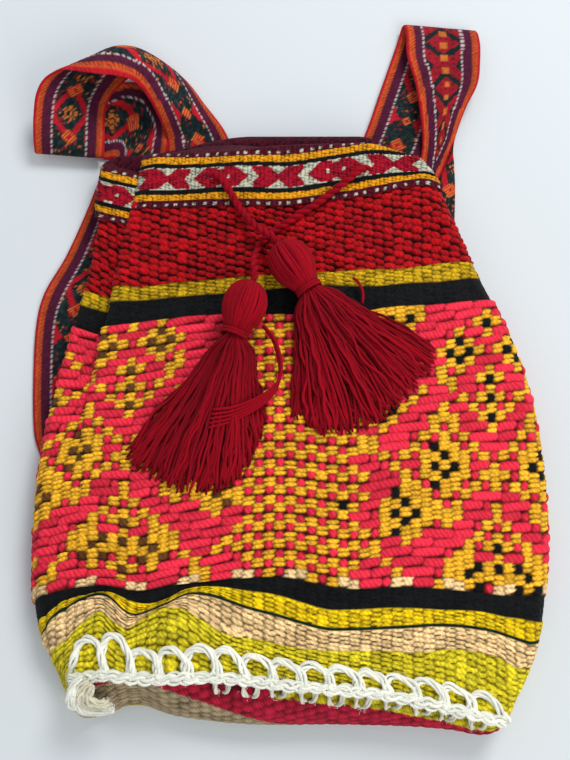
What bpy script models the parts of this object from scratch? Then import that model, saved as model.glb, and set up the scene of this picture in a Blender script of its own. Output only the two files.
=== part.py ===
"""Woven drawstring backpack, lying on its back with its straps thrown clear.

A tube of thick banded cloth is closed at the bottom by a narrow base panel, which white yarn
sews on all round. A finer woven band folds over the mouth as a casing. The drawcord runs in it,
leaves it through two eyelets and ends in two tassels. Two woven straps are sewn to the back.

Metres, +Z up, +Y towards the mouth, +X to the right as the front is seen from above.
The origin is the middle of the back, on the surface that the bag lies on.
"""

import math

import bmesh
import bpy
import numpy as np

# Cloth, band, strap and yarn thicknesses
CLOTH_T = 0.0032
LEAF_T = 0.0018
STRAP_T = 0.0024
CORD_D = 0.0046
STITCH_D = 0.0022
CLEARANCE = 0.0003

# Length of the bag: where the front and back layers start at the base and end at the mouth
FRONT_SEAM_Y = -0.170
FRONT_RIM_Y = 0.136
BACK_SEAM_Y = -0.190
BACK_RIM_Y = 0.151
BODY_TOP_V = 0.925
BAND_BOTTOM_V = 0.887

# Side edges as (share of the length from base to mouth, x)
RIGHT_EDGE = (
    (0.0, 0.121),
    (0.10, 0.139),
    (0.28, 0.147),
    (0.46, 0.145),
    (0.62, 0.135),
    (0.82, 0.106),
    (1.0, 0.087),
)
LEFT_EDGE = (
    (0.0, -0.116),
    (0.10, -0.133),
    (0.28, -0.141),
    (0.46, -0.137),
    (0.62, -0.128),
    (0.82, -0.114),
    (1.0, -0.106),
)
# How far the front layer's seam, rim and bands lie up or down the bag, as (x, shift)
SEAM_SHIFT = ((-0.12, 0.007), (-0.06, 0.004), (0.0, 0.0), (0.05, -0.004), (0.12, -0.021))
RIM_SHIFT = ((-0.11, -0.006), (-0.05, -0.002), (0.0, 0.0), (0.05, 0.006), (0.09, 0.010))

# Height of the middle of the cloth's thickness above the surface, and the rounds of its side edges
SIDE_LIFT = 0.0045
CENTRE_LIFT = CLOTH_T / 2
MOUTH_LIFT = 0.0084
SEAM_LIFT = 0.0066
RIGHT_ROUND = 0.0085
LEFT_ROUND = 0.0055
MOUTH_ROUND = 0.0091
MOUTH_LEFT_ROUND = 0.0074
FRONT_HEIGHT = ((0.0, 0.0290), (0.12, 0.0345), (0.45, 0.0360), (0.75, 0.0330), (1.0, 0.0274))

# The tuck down the left of the front, which dies out towards the base
TUCK_MOUTH_X = -0.086
TUCK_END_X = -0.119
TUCK_END_V = 0.42
TUCK_WIDTH = 0.006

# The right corner of the mouth rolls over
ROLL_X = 0.045
ROLL_SPAN = 0.035
ROLL_Y = 0.006
ROLL_DROP = 0.002

# Folds above the base, as (x, half width, height, shift up the bag)
LOWER_FOLDS = ((-0.098, 0.020, 0.0035, 0.009), (-0.045, 0.034, 0.0040, 0.012))
LOWER_FOLD_V = 0.075
LOWER_FOLD_REACH = 0.075

# Weave, as ridges round the front
RIDGES = 28
RIDGE_HEIGHT = 0.0007

# Colour bands of the body cloth, as (where the band ends, colour), from the base up
BANDS = (
    (0.066, "olive"),
    (0.110, "peach"),
    (0.119, "dark_green"),
    (0.148, "yellow"),
    (0.176, "black"),
    (0.672, "pink"),
    (0.712, "black"),
    (0.742, "yellow"),
    (1.0, "red"),
)
BAND_COLOURS = {
    "olive": (0.42, 0.42, 0.03, 1.0),
    "peach": (0.76, 0.45, 0.28, 1.0),
    "dark_green": (0.01, 0.05, 0.03, 1.0),
    "yellow": (0.74, 0.50, 0.02, 1.0),
    "black": (0.01, 0.012, 0.015, 1.0),
    "pink": (0.80, 0.10, 0.14, 1.0),
    "red": (0.45, 0.01, 0.02, 1.0),
}

# Mesh steps round and along the body
AROUND = 44
TURN_WEIGHT = 0.040
FINE_AROUND = 480
INNER_ROWS = 6

# Mouth band
BAND_GAP_LOW = CLOTH_T / 2 + CLEARANCE
BAND_ROWS = 2
CASING_ROOM = 0.0013
BAND_GAP_CORD = CORD_D / 2 + CASING_ROOM
BAND_OUT = BAND_GAP_CORD + LEAF_T
# The fold over the mouth, outside and inside the casing: where it starts and ends, and how far it draws in
FOLD_V = 0.996
FOLD_EASE = 0.0012
FOLD_INSIDE_V = 0.978
FOLD_INSIDE_END_V = 0.986
CORD_V = 0.955
EYELET_X = {"left": -0.043, "right": 0.049}
EYELET_REACH = 0.015
# The cord's way out, as (share of the reach past the eyelet, place up the bag, height off the cloth)
EYELET_STEPS = (
    (-1.0, CORD_V, 0.0),
    (-0.6, CORD_V - 0.001, 0.0),
    (0.0, CORD_V - 0.008, 0.0040),
    (0.45, CORD_V - 0.022, 0.0094),
)
EYELET_ROOM = 0.0005
EYELET_POINTS = 6

# Base panel
BASE_BULGE = 0.009
BULGE_SPAN = 0.02
BASE_STEPS = 5

# Blanket stitches
STITCH_PITCH = 0.0165
STITCH_REACH = 0.0125
STITCH_LINE_D = 0.0032
STITCH_LINE_V = 0.004
STITCH_ENDS = (-0.107, 0.110)
STITCH_SPREAD = 0.40

# The cord's tails, as (x, y, height of the middle above the cloth), from the eyelet to the tassel.
# The left tail passes over the right one and holds the right tassel.
SEAT = 0.0006
CORD_STEP = 0.0095
TAIL_STEP = 0.0062
TAILS = {
    "left": (((-0.0265, 0.0960, 0.0044), (-0.0190, 0.0850, 0.0082), (-0.0125, 0.0785, 0.0104)), "right"),
    "right": (((0.0230, 0.1005, 0.0040), (0.0060, 0.0890, 0.0027), (-0.0100, 0.0780, 0.0027),
               (-0.0160, 0.0680, 0.0044), (-0.0175, 0.0590, 0.0092)), "left"),
}

# Tassels: where the head lies, and where the skirt's tip and the ends of its fan lie
TASSELS = {
    "left": {"head": (-0.0225, 0.0345), "tip": (-0.0540, -0.0600), "left": (-0.0880, -0.0430),
             "right": (-0.0165, -0.0480)},
    "right": {"head": (0.0040, 0.0580), "tip": (0.0560, -0.0220), "left": (0.0130, -0.0380),
              "right": (0.0820, 0.0080)},
}
HEAD_R = 0.0120
HEAD_STRETCH = 1.15
HEAD_TOP = math.radians(24)
HEAD_GAP = 0.0008
NECK_AT = 0.0172
NECK_R = 0.0062
NECK_HALF = 0.0019
BINDING_R = 0.0015
SKIRT_T = 0.0105
SKIRT_FLARE = 0.72
STRANDS = 12

# The back rests on its middle, and is lifted at each side where the straps lie under it
REST_HALF = 0.050
REST_EDGE = 0.058

# Straps
STRAP_LAY = STRAP_T / 2
STRAP_COLUMNS = 4
STRAP_STEP = 0.012
SEWING_D = 0.0014
SEWING_WAVE = 0.0120
FLOOR_ROOM = 0.0001
# The two edges of each strap, from its end at the mouth to its end at the base. The left strap stands
# on edge in an arch and doubles back under it, and the right one folds back over itself.
LEFT_STRAP = (
    ((-0.0730, 0.1070, STRAP_LAY), (-0.0300, 0.1070, STRAP_LAY)),
    ((-0.0735, 0.1360, STRAP_LAY), (-0.0320, 0.1390, STRAP_LAY)),
    ((-0.0745, 0.1535, 0.0020), (-0.0370, 0.1575, 0.0013)),
    ((-0.0810, 0.1670, 0.0200), (-0.0500, 0.1760, 0.0013)),
    ((-0.0900, 0.1760, 0.0310), (-0.0650, 0.1940, 0.0015)),
    ((-0.1010, 0.1780, 0.0360), (-0.0850, 0.2040, 0.0015)),
    ((-0.1100, 0.1785, 0.0380), (-0.1040, 0.2030, 0.0020)),
    ((-0.1210, 0.1800, 0.0380), (-0.1190, 0.1960, 0.0035)),
    ((-0.1340, 0.1840, 0.0350), (-0.1240, 0.1890, 0.0048)),
    ((-0.1450, 0.1810, 0.0310), (-0.1200, 0.1830, 0.0054)),
    ((-0.1510, 0.1720, 0.0260), (-0.1140, 0.1750, 0.0058)),
    ((-0.1535, 0.1600, 0.0200), (-0.1115, 0.1610, 0.0064)),
    ((-0.1545, 0.1490, 0.0150), (-0.1115, 0.1480, 0.0090)),
    ((-0.1550, 0.1430, 0.0100), (-0.1120, 0.1400, 0.0075)),
    ((-0.1550, 0.1435, 0.0050), (-0.1135, 0.1405, 0.0045)),
    ((-0.1490, 0.1510, 0.0015), (-0.1170, 0.1475, 0.0015)),
    ((-0.1360, 0.1640, STRAP_LAY), (-0.1190, 0.1520, STRAP_LAY)),
    ((-0.1200, 0.1730, STRAP_LAY), (-0.1110, 0.1570, STRAP_LAY)),
    ((-0.1030, 0.1760, STRAP_LAY), (-0.1030, 0.1590, STRAP_LAY)),
    ((-0.0870, 0.1700, STRAP_LAY), (-0.0975, 0.1570, STRAP_LAY)),
    ((-0.0790, 0.1580, STRAP_LAY), (-0.0985, 0.1530, STRAP_LAY)),
    ((-0.0775, 0.1470, STRAP_LAY), (-0.1090, 0.1450, STRAP_LAY)),
    ((-0.0775, 0.1310, STRAP_LAY), (-0.1145, 0.1310, STRAP_LAY)),
    ((-0.0840, 0.1030, STRAP_LAY), (-0.1240, 0.1020, STRAP_LAY)),
    ((-0.0910, 0.0730, STRAP_LAY), (-0.1320, 0.0770, STRAP_LAY)),
    ((-0.1020, 0.0450, STRAP_LAY), (-0.1440, 0.0540, STRAP_LAY)),
    ((-0.1080, 0.0290, STRAP_LAY), (-0.1505, 0.0350, STRAP_LAY)),
    ((-0.1080, 0.0020, STRAP_LAY), (-0.1510, 0.0060, STRAP_LAY)),
    ((-0.1060, -0.0320, STRAP_LAY), (-0.1490, -0.0300, STRAP_LAY)),
    ((-0.1010, -0.0540, STRAP_LAY), (-0.1435, -0.0490, STRAP_LAY)),
    ((-0.0860, -0.1000, STRAP_LAY), (-0.1290, -0.0970, STRAP_LAY)),
    ((-0.0760, -0.1500, STRAP_LAY), (-0.1190, -0.1500, STRAP_LAY)),
)
RIGHT_STRAP = (
    ((0.0300, 0.1070, STRAP_LAY), (0.0730, 0.1070, STRAP_LAY)),
    ((0.0330, 0.1220, STRAP_LAY), (0.0755, 0.1180, STRAP_LAY)),
    ((0.0490, 0.1540, 0.0013), (0.0890, 0.1380, 0.0013)),
    ((0.0600, 0.1850, 0.0013), (0.1010, 0.1710, 0.0013)),
    ((0.0710, 0.2170, 0.0014), (0.1135, 0.2080, 0.0014)),
    ((0.0745, 0.2290, 0.0048), (0.1180, 0.2235, 0.0048)),
    ((0.0760, 0.2210, 0.0085), (0.1190, 0.2165, 0.0085)),
    ((0.0775, 0.2050, 0.0100), (0.1195, 0.2010, 0.0100)),
    ((0.0800, 0.1860, 0.0105), (0.1165, 0.1820, 0.0110)),
    ((0.0840, 0.1640, 0.0095), (0.1095, 0.1610, 0.0105)),
    ((0.0895, 0.1500, 0.0060), (0.1055, 0.1470, 0.0070)),
    ((0.0930, 0.1390, 0.0026), (0.1045, 0.1370, 0.0030)),
    ((0.0860, 0.1270, 0.0014), (0.1040, 0.1240, 0.0015)),
    ((0.0800, 0.1130, STRAP_LAY), (0.1035, 0.1100, STRAP_LAY)),
    ((0.0710, 0.0950, STRAP_LAY), (0.1040, 0.0920, STRAP_LAY)),
    ((0.0640, 0.0750, STRAP_LAY), (0.1055, 0.0740, STRAP_LAY)),
    ((0.0700, 0.0200, STRAP_LAY), (0.1130, 0.0200, STRAP_LAY)),
    ((0.0790, -0.0600, STRAP_LAY), (0.1220, -0.0600, STRAP_LAY)),
    ((0.0780, -0.1500, STRAP_LAY), (0.1210, -0.1520, STRAP_LAY)),
)


def smooth(low, high, x):
    """0 below low, 1 above high and an even S between them."""
    t = np.clip((np.asarray(x, float) - low) / (high - low), 0.0, 1.0)
    return t * t * (3 - 2 * t)


def through(points, x):
    """A smooth curve through (place, value) points, level beyond its ends."""
    places, values = np.array(points, float).T
    slopes = np.gradient(values, places)
    x = np.clip(np.asarray(x, float), places[0], places[-1])
    i = np.clip(np.searchsorted(places, x, side="right") - 1, 0, len(places) - 2)
    step = places[i + 1] - places[i]
    t = (x - places[i]) / step
    rise = values[i] + (values[i + 1] - values[i]) * t * t * (3 - 2 * t)
    return rise + step * (slopes[i] * t * (1 - t) ** 2 - slopes[i + 1] * t * t * (1 - t))


def tuck_x(v):
    """x of the tuck's fold line."""
    return TUCK_END_X + (TUCK_MOUTH_X - TUCK_END_X) * (v - TUCK_END_V) / (1 - TUCK_END_V)


def layer_heights(v):
    """Lift of the back layer at the sides and in the middle, and the rounds at the right and left."""
    mouth = smooth(0.78, BAND_BOTTOM_V, v)
    seam = smooth(0.05, 0.0, v)
    side = SIDE_LIFT + (MOUTH_LIFT - SIDE_LIFT) * mouth + (SEAM_LIFT - SIDE_LIFT) * seam
    centre = CENTRE_LIFT + (side - CENTRE_LIFT) * np.maximum(mouth, seam)
    tucked = smooth(TUCK_END_V - 0.12, TUCK_END_V + 0.25, v)
    right = RIGHT_ROUND + (MOUTH_ROUND - RIGHT_ROUND) * mouth
    left = RIGHT_ROUND + (LEFT_ROUND - RIGHT_ROUND) * tucked
    left = left + (MOUTH_LEFT_ROUND - left) * mouth
    return side, centre, right, left, tucked


def fold_lift(x, v):
    """Height and shift up the bag of the folds above the base."""
    near = np.exp(-(((v - LOWER_FOLD_V) / LOWER_FOLD_REACH) ** 2))
    height, shift = 0.0, 0.0
    for place, half, lift, push in LOWER_FOLDS:
        swell = np.exp(-(((x - place) / half) ** 2)) * near
        height = height + lift * swell
        shift = shift + push * swell
    return height, shift


def section(v, count):
    """The middle of the cloth round the bag at one station: points (x, z) and their outward normals.

    The loop starts at the right edge and runs over the front, round the left edge and back below.
    """
    side, centre, right, left, tucked = (float(q) for q in layer_heights(v))
    x_right, x_left = float(through(RIGHT_EDGE, v)), float(through(LEFT_EDGE, v))
    top = float(through(FRONT_HEIGHT, v))
    middle, half = (x_right + x_left) / 2, (x_right - x_left) / 2
    turn = np.radians(np.linspace(0, 90, 24))

    across = np.linspace(x_right - right, x_left + left, 240)
    beside = smooth(TUCK_WIDTH / 2, -TUCK_WIDTH / 2, across - tuck_x(v)) * tucked
    swell = (1 - np.abs((across - middle) / half) ** 2.5).clip(0) ** 1.3
    ends = side + 2 * (right + (left - right) * smooth(0.4, -0.9, (across - middle) / half))
    ends = ends + (side + 2 * left - ends) * beside
    over = ends + (top - side - 2 * right) * swell * (1 - beside)
    over = over + fold_lift(across, v)[0]

    below = np.linspace(x_left + left, x_right - right, 120)
    dip = smooth(REST_EDGE, REST_HALF, np.abs(below))
    under = side + (centre - side) * dip

    lift_right = over[0] - side
    lift_left = over[-1] - side
    xs = np.concatenate([
        x_right - right + right * np.cos(turn),
        across[1:-1],
        x_left + left - left * np.sin(turn),
        x_left + left - left * np.cos(turn[1:]),
        below[1:-1],
        x_right - right + right * np.sin(turn[:-1]),
    ])
    zs = np.concatenate([
        side + lift_right / 2 * (1 + np.sin(turn)),
        over[1:-1],
        side + lift_left / 2 * (1 + np.cos(turn)),
        side + lift_left / 2 * (1 - np.sin(turn[1:])),
        under[1:-1],
        side + lift_right / 2 * (1 - np.cos(turn[:-1])),
    ])
    ring = np.column_stack([xs, zs])
    closed = np.vstack([ring, ring[:1]])
    steps = np.diff(closed, axis=0)
    along = np.concatenate([[0.0], np.cumsum(np.hypot(*steps.T))])
    bearing = np.unwrap(np.arctan2(steps[:, 1], steps[:, 0]))
    turned = np.concatenate([[0.0], np.cumsum(np.abs(np.diff(bearing))), [0.0]])
    turned[-1] = turned[-2]
    weight = along + TURN_WEIGHT * turned
    at = np.interp(np.linspace(0, weight[-1], count, endpoint=False), weight, along)
    points = np.column_stack([np.interp(at, along, closed[:, k]) for k in (0, 1)])
    reach = along[-1] / 400
    ahead = np.column_stack([np.interp((at + reach) % along[-1], along, closed[:, k]) for k in (0, 1)])
    behind = np.column_stack([np.interp((at - reach) % along[-1], along, closed[:, k]) for k in (0, 1)])
    tangent = ahead - behind
    normal = np.column_stack([tangent[:, 1], -tangent[:, 0]])
    normal /= np.hypot(*normal.T)[:, None]
    return points, normal


def place(x, z, v):
    """Points in the frame for places on a section at v.

    y follows the front layer above and the back layer below.
    """
    side = layer_heights(v)[0]
    top = through(FRONT_HEIGHT, v)
    share = smooth(0.0, 1.0, (z - side) / (top - side))
    front_seam = FRONT_SEAM_Y + through(SEAM_SHIFT, x)
    front_rim = FRONT_RIM_Y + through(RIM_SHIFT, x)
    front = front_seam + (front_rim - front_seam) * v + fold_lift(x, v)[1]
    back = BACK_SEAM_Y + (BACK_RIM_Y - BACK_SEAM_Y) * v
    roll = smooth(ROLL_X, ROLL_X + ROLL_SPAN, x) * smooth(BAND_BOTTOM_V, 1.0, v) * share
    y = back + (front - back) * share - ROLL_Y * roll
    return np.column_stack([x, y, z - ROLL_DROP * roll])


def loop(v, offset, count=AROUND, ridge=0.0):
    """Points round the bag at station v, offset outwards from the middle of the cloth."""
    points, normal = section(v, count)
    front = smooth(SIDE_LIFT, SIDE_LIFT + 0.012, points[:, 1])
    out = offset + ridge * front
    moved = points + normal * out[:, None]
    return place(moved[:, 0], moved[:, 1], v)


def front_point(x, v, offset):
    """The point on the front layer at one x, offset outwards from the middle of the cloth."""
    points, normal = section(v, FINE_AROUND)
    upper = points[:, 1] > float(layer_heights(v)[0]) + 0.008
    order = np.argsort(points[upper][:, 0])
    across = points[upper][order, 0]
    row = np.column_stack([points[upper], normal[upper]])[order]
    at_x, at_z, out_x, out_z = (np.interp(x, across, row[:, k]) for k in range(4))
    return place(np.array([at_x + out_x * offset]), np.array([at_z + out_z * offset]), v)[0]


def front_height(x, y):
    """Height of the cloth's outer face at a place on the front."""
    low, high = 0.0, 1.0
    for _ in range(18):
        v = (low + high) / 2
        if front_point(x, v, CLOTH_T / 2)[1] < y:
            low = v
        else:
            high = v
    out = BAND_OUT if v > BAND_BOTTOM_V else CLOTH_T / 2
    return front_point(x, v, out)[2]


def material(name, colour, roughness=0.9):
    found = bpy.data.materials.get(name)
    if found:
        return found
    made = bpy.data.materials.new(name)
    made.use_nodes = True
    shader = made.node_tree.nodes["Principled BSDF"]
    shader.inputs["Base Color"].default_value = colour
    shader.inputs["Roughness"].default_value = roughness
    shader.inputs["Metallic"].default_value = 0.0
    made.diffuse_color = colour
    return made


def finish(bm, name, *materials):
    """Turns a bmesh into a named object with its materials and smooth shading."""
    bmesh.ops.recalc_face_normals(bm, faces=bm.faces)
    mesh = bpy.data.meshes.new(name)
    bm.to_mesh(mesh)
    bm.free()
    for one in materials:
        mesh.materials.append(one)
    mesh.shade_smooth()
    mesh.set_sharp_from_angle(angle=math.radians(50))
    obj = bpy.data.objects.new(name, mesh)
    bpy.context.scene.collection.objects.link(obj)
    return obj


def add_rings(bm, rings):
    return [[bm.verts.new(p) for p in ring] for ring in rings]


def bridge(bm, first, second, material_index=0):
    """Quads between two closed rings of as many points."""
    count = len(first)
    for i in range(count):
        j = (i + 1) % count
        face = bm.faces.new((first[i], first[j], second[j], second[i]))
        face.material_index = material_index


def tube_shell(rings):
    """A closed shell from rings that run out along one face and back along the other."""
    bm = bmesh.new()
    made = add_rings(bm, rings)
    for first, second in zip(made, made[1:] + made[:1]):
        bridge(bm, first, second)
    return bm


def bag_body():
    """The woven tube: ridged outside, plain inside, open at the mouth and at the base."""
    covered = np.linspace(BAND_BOTTOM_V, BODY_TOP_V, BAND_ROWS + 1)
    stations = np.concatenate([np.linspace(0, BAND_BOTTOM_V, 2 * RIDGES + 1), covered[1:]])
    rows = len(stations) - 1
    outer = [loop(v, CLOTH_T / 2, ridge=RIDGE_HEIGHT * (i % 2) * (i < 2 * RIDGES))
             for i, v in enumerate(stations)]
    inside = np.concatenate([covered[::-1], np.linspace(BAND_BOTTOM_V, 0, INNER_ROWS + 1)[1:]])
    inner = [loop(v, -CLOTH_T / 2) for v in inside]
    bm = bmesh.new()
    made = add_rings(bm, outer + inner)
    colours = list(dict.fromkeys(colour for _, colour in BANDS))
    for i, (first, second) in enumerate(zip(made, made[1:] + made[:1])):
        v = stations[min(i, rows)]
        band = next(colour for end, colour in BANDS if v < end)
        bridge(bm, first, second, colours.index(band if i < rows else "red"))
    return finish(bm, "bag_body", *(material(c + "_yarn", BAND_COLOURS[c]) for c in colours))


def base_panel():
    """The narrow panel between the front and back layers' lower edges, bulging out between them."""
    outer_rim = loop(0.0, CLOTH_T / 2)
    inner_rim = loop(0.0, -CLOTH_T / 2)
    half = AROUND // 2
    steps = np.linspace(0, 1, BASE_STEPS + 1)

    def sheet(rim):
        rows = []
        for k in range(half + 1):
            front, rear = rim[k], rim[-k % AROUND]
            span = np.linalg.norm(front - rear)
            swell = BASE_BULGE * min(1.0, span / BULGE_SPAN)
            rows.append([
                front + (rear - front) * s - np.array([0, CLEARANCE + swell * math.sin(math.pi * s), 0])
                for s in steps
            ])
        return rows

    bm = bmesh.new()
    outside = sheet(outer_rim)
    inside = sheet(inner_rim)
    thick = np.array([0, -CLOTH_T, 0])
    grids = []
    for rows, shift in ((outside, thick), (inside, 0 * thick)):
        grid = []
        for k, row in enumerate(rows):
            if k in (0, half):
                grid.append([bm.verts.new(row[0] + shift)] * len(row))
            else:
                grid.append([bm.verts.new(p + shift) for p in row])
        grids.append(grid)
    for grid in grids:
        for a, b in zip(grid, grid[1:]):
            for j in range(BASE_STEPS):
                corners = list(dict.fromkeys((a[j], a[j + 1], b[j + 1], b[j])))
                bm.faces.new(corners)
    outer, inner = grids
    for j in (0, BASE_STEPS):
        for k in range(half):
            bm.faces.new((outer[k][j], outer[k + 1][j], inner[k + 1][j], inner[k][j]))
    return finish(bm, "base_panel", material("base_yarn", (0.50, 0.02, 0.03, 1.0)))


def union_of(name, parts, *materials):
    """One closed body from several overlapping tubes."""
    base = parts[0]
    for other in parts[1:]:
        cut = base.modifiers.new("join", "BOOLEAN")
        cut.operation = "UNION"
        cut.object = other
        bpy.context.view_layer.update()
        graph = bpy.context.evaluated_depsgraph_get()
        mesh = bpy.data.meshes.new_from_object(base.evaluated_get(graph))
        base.modifiers.clear()
        old = base.data
        base.data = mesh
        bpy.data.meshes.remove(old)
        bpy.data.objects.remove(other)
    base.name = name
    base.data.name = name
    base.data.materials.clear()
    for one in materials:
        base.data.materials.append(one)
    return base


def frames_along(points, closed=False):
    """A tangent and two steady cross directions at each point of a path."""
    points = np.asarray(points, float)
    if closed:
        tangent = np.roll(points, -1, 0) - np.roll(points, 1, 0)
    else:
        tangent = np.gradient(points, axis=0)
    tangent /= np.linalg.norm(tangent, axis=1)[:, None]
    side = np.cross(tangent, (0.0, 0.0, 1.0))
    weak = np.linalg.norm(side, axis=1) < 0.2
    side[weak] = np.cross(tangent[weak], (0.0, 1.0, 0.0))
    side /= np.linalg.norm(side, axis=1)[:, None]
    return tangent, side, np.cross(side, tangent)


def tube(name, points, diameter, sides=6, closed=False):
    """A round yarn along a path, with flat ends or closed on itself."""
    tangent, side, up = frames_along(points, closed)
    angles = np.linspace(0, 2 * math.pi, sides, endpoint=False)
    bm = bmesh.new()
    rings = [
        [bm.verts.new(p + diameter / 2 * (math.cos(a) * s + math.sin(a) * u)) for a in angles]
        for p, s, u in zip(points, side, up)
    ]
    pairs = list(zip(rings, rings[1:] + rings[:1])) if closed else list(zip(rings, rings[1:]))
    for first, second in pairs:
        bridge(bm, first, second)
    if not closed:
        bm.faces.new(rings[0])
        bm.faces.new(rings[-1])
    return finish(bm, name)


def crimson():
    return material("crimson_yarn", (0.40, 0.004, 0.03, 1.0))


def cord_curve(name, points, diameter):
    """A cord as a bevelled curve with filled ends."""
    curve = bpy.data.curves.new(name, "CURVE")
    curve.dimensions = "3D"
    curve.bevel_depth = diameter / 2
    curve.bevel_resolution = 2
    curve.use_fill_caps = True
    curve.twist_mode = "MINIMUM"
    spline = curve.splines.new("POLY")
    spline.points.add(len(points) - 1)
    for point, co in zip(spline.points, points):
        point.co = (*co, 1.0)
    curve.materials.append(crimson())
    obj = bpy.data.objects.new(name, curve)
    bpy.context.scene.collection.objects.link(obj)
    return obj


def spread(route, spacing):
    """Points a set distance apart on a smooth curve through a route's points."""
    route = np.asarray(route, float)
    padded = np.vstack([2 * route[0] - route[1], route, 2 * route[-1] - route[-2]])
    fine = []
    for a, b, c, d in zip(padded, padded[1:], padded[2:], padded[3:]):
        for t in np.linspace(0, 1, 24, endpoint=False):
            fine.append(0.5 * (2 * b + (c - a) * t + (2 * a - 5 * b + 4 * c - d) * t**2
                               + (3 * b - a - 3 * c + d) * t**3))
    fine = np.array(fine + [route[-1]])
    along = np.concatenate([[0.0], np.cumsum(np.linalg.norm(np.diff(fine, axis=0), axis=1))])
    count = max(3, round(along[-1] / spacing) + 1)
    at = np.linspace(0, along[-1], count)
    return np.column_stack([np.interp(at, along, fine[:, k]) for k in range(3)])


def surface_point(share, v, offset):
    """A point on the bag's outside at a share of the way round."""
    points, normal = section(v, FINE_AROUND)
    i = int(round(share * FINE_AROUND)) % FINE_AROUND
    moved = points[i] + normal[i] * offset
    return place(moved[:1], moved[1:], v)[0]


def base_seam_stitching():
    """Blanket stitches: a line of yarn round the joint, and arches that reach up the front."""
    off = CLOTH_T / 2 + RIDGE_HEIGHT + SEAT + STITCH_LINE_D / 2
    count = 72
    line = np.array([surface_point(i / count, STITCH_LINE_V, off) for i in range(count)])
    parts = [tube("stitch_line", line, STITCH_LINE_D, sides=5, closed=True)]
    first, last = STITCH_ENDS
    arches = round((last - first) / STITCH_PITCH)
    pitch = (last - first) / arches
    rise = STITCH_REACH / (FRONT_RIM_Y - FRONT_SEAM_Y)
    for k in range(arches):
        path = []
        for turn in np.linspace(0, math.pi, 7):
            x = first + pitch * (k + 0.5 - STITCH_SPREAD * math.cos(turn))
            path.append(front_point(x, STITCH_LINE_V + rise * math.sin(turn) ** 0.7, off))
        parts.append(tube("stitch_arch", path, STITCH_D, sides=5))
    return union_of("base_seam_stitching", parts, material("white_yarn", (0.80, 0.80, 0.70, 1.0)))


def mouth_band():
    """The casing: two leaves that fold over the mouth, with a hole for each tail of the cord."""
    def gap(v):
        opened = smooth(BAND_BOTTOM_V, BODY_TOP_V + 0.01, v)
        return float(BAND_GAP_LOW + (BAND_GAP_CORD - BAND_GAP_LOW) * opened)

    stations = BAND_BOTTOM_V + (BODY_TOP_V - BAND_BOTTOM_V) / BAND_ROWS * np.arange(6)
    rings = [loop(v, gap(v) + LEAF_T) for v in stations]
    rings.append(loop(FOLD_V, BAND_OUT - FOLD_EASE))
    rings.append(loop(1.0, 0.0))
    rings.append(loop(FOLD_V, -BAND_OUT + FOLD_EASE))
    rings += [loop(v, -gap(v) - LEAF_T) for v in stations[::-1]]
    rings += [loop(v, -gap(v)) for v in stations[:-1]]
    rings.append(loop(FOLD_INSIDE_V, -BAND_GAP_CORD))
    rings.append(loop(FOLD_INSIDE_END_V, 0.0))
    rings.append(loop(FOLD_INSIDE_V, BAND_GAP_CORD))
    rings += [loop(v, gap(v)) for v in stations[:-1][::-1]]
    band = finish(tube_shell(rings), "mouth_band", material("band_yarn", (0.60, 0.30, 0.02, 1.0)))
    for side in EYELET_X:
        way_out = tail_path(side)[:EYELET_POINTS]
        cutter = tube(side + "_eyelet_cutter", way_out, CORD_D + 2 * EYELET_ROOM, sides=12)
        cutter.hide_render = True
        cutter.display_type = "WIRE"
        cut = band.modifiers.new(side + "_eyelet", "BOOLEAN")
        cut.operation = "DIFFERENCE"
        cut.object = cutter
    return band


def eyelet_route(side):
    """The cord's way out of the casing: along it, then slanting out through the outer leaf."""
    x = EYELET_X[side]
    inward = 1.0 if x < 0 else -1.0
    return [front_point(x + inward * EYELET_REACH * along, v, out) for along, v, out in EYELET_STEPS]


def drawcord_in_casing():
    """The cord inside the casing, from the left eyelet round the back to the right eyelet."""
    points, _ = section(CORD_V, FINE_AROUND)
    whole = place(points[:, 0], points[:, 1], CORD_V)
    upper = points[:, 1] > MOUTH_LIFT + 0.008
    low = EYELET_X["left"] - EYELET_REACH - SEAT
    high = EYELET_X["right"] + EYELET_REACH + SEAT
    keep = ~(upper & (points[:, 0] > low) & (points[:, 0] < high))
    start = int(np.argmax(keep & ~np.roll(keep, 1)))
    route = np.array([whole[(start + i) % FINE_AROUND] for i in range(int(keep.sum()))])
    ends = [front_point(low, CORD_V, 0.0), front_point(high, CORD_V, 0.0)]
    route = np.vstack([ends[0], route[4:-4:4], ends[1]])
    return cord_curve("drawcord_in_casing", spread(route, CORD_STEP), CORD_D)


def on_front(x, y, up):
    """A point a set height above the cloth's outer face."""
    return np.array([x, y, front_height(x, y) + RIDGE_HEIGHT + SEAT + up])


def aim_of(spot):
    """A tassel's head, the direction of its skirt and the skirt's length."""
    head = np.array(spot["head"])
    aim = np.array(spot["tip"]) - head
    length = float(np.linalg.norm(aim))
    return head, aim / length, length


def tail_path(side):
    """A free end of the cord: out through its eyelet and down over the front to the head of its tassel."""
    tail, held = TAILS[side]
    head, aim, _ = aim_of(TASSELS[held])
    reach = HEAD_R * HEAD_STRETCH * math.cos(HEAD_TOP) + HEAD_GAP
    height = on_front(*head, HEAD_R)[2]
    ends = [np.array([*(head - aim * (reach + back)), height]) for back in (CORD_D, 0.0)]
    return spread(eyelet_route(side) + [on_front(*p) for p in tail] + ends, TAIL_STEP)


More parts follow.
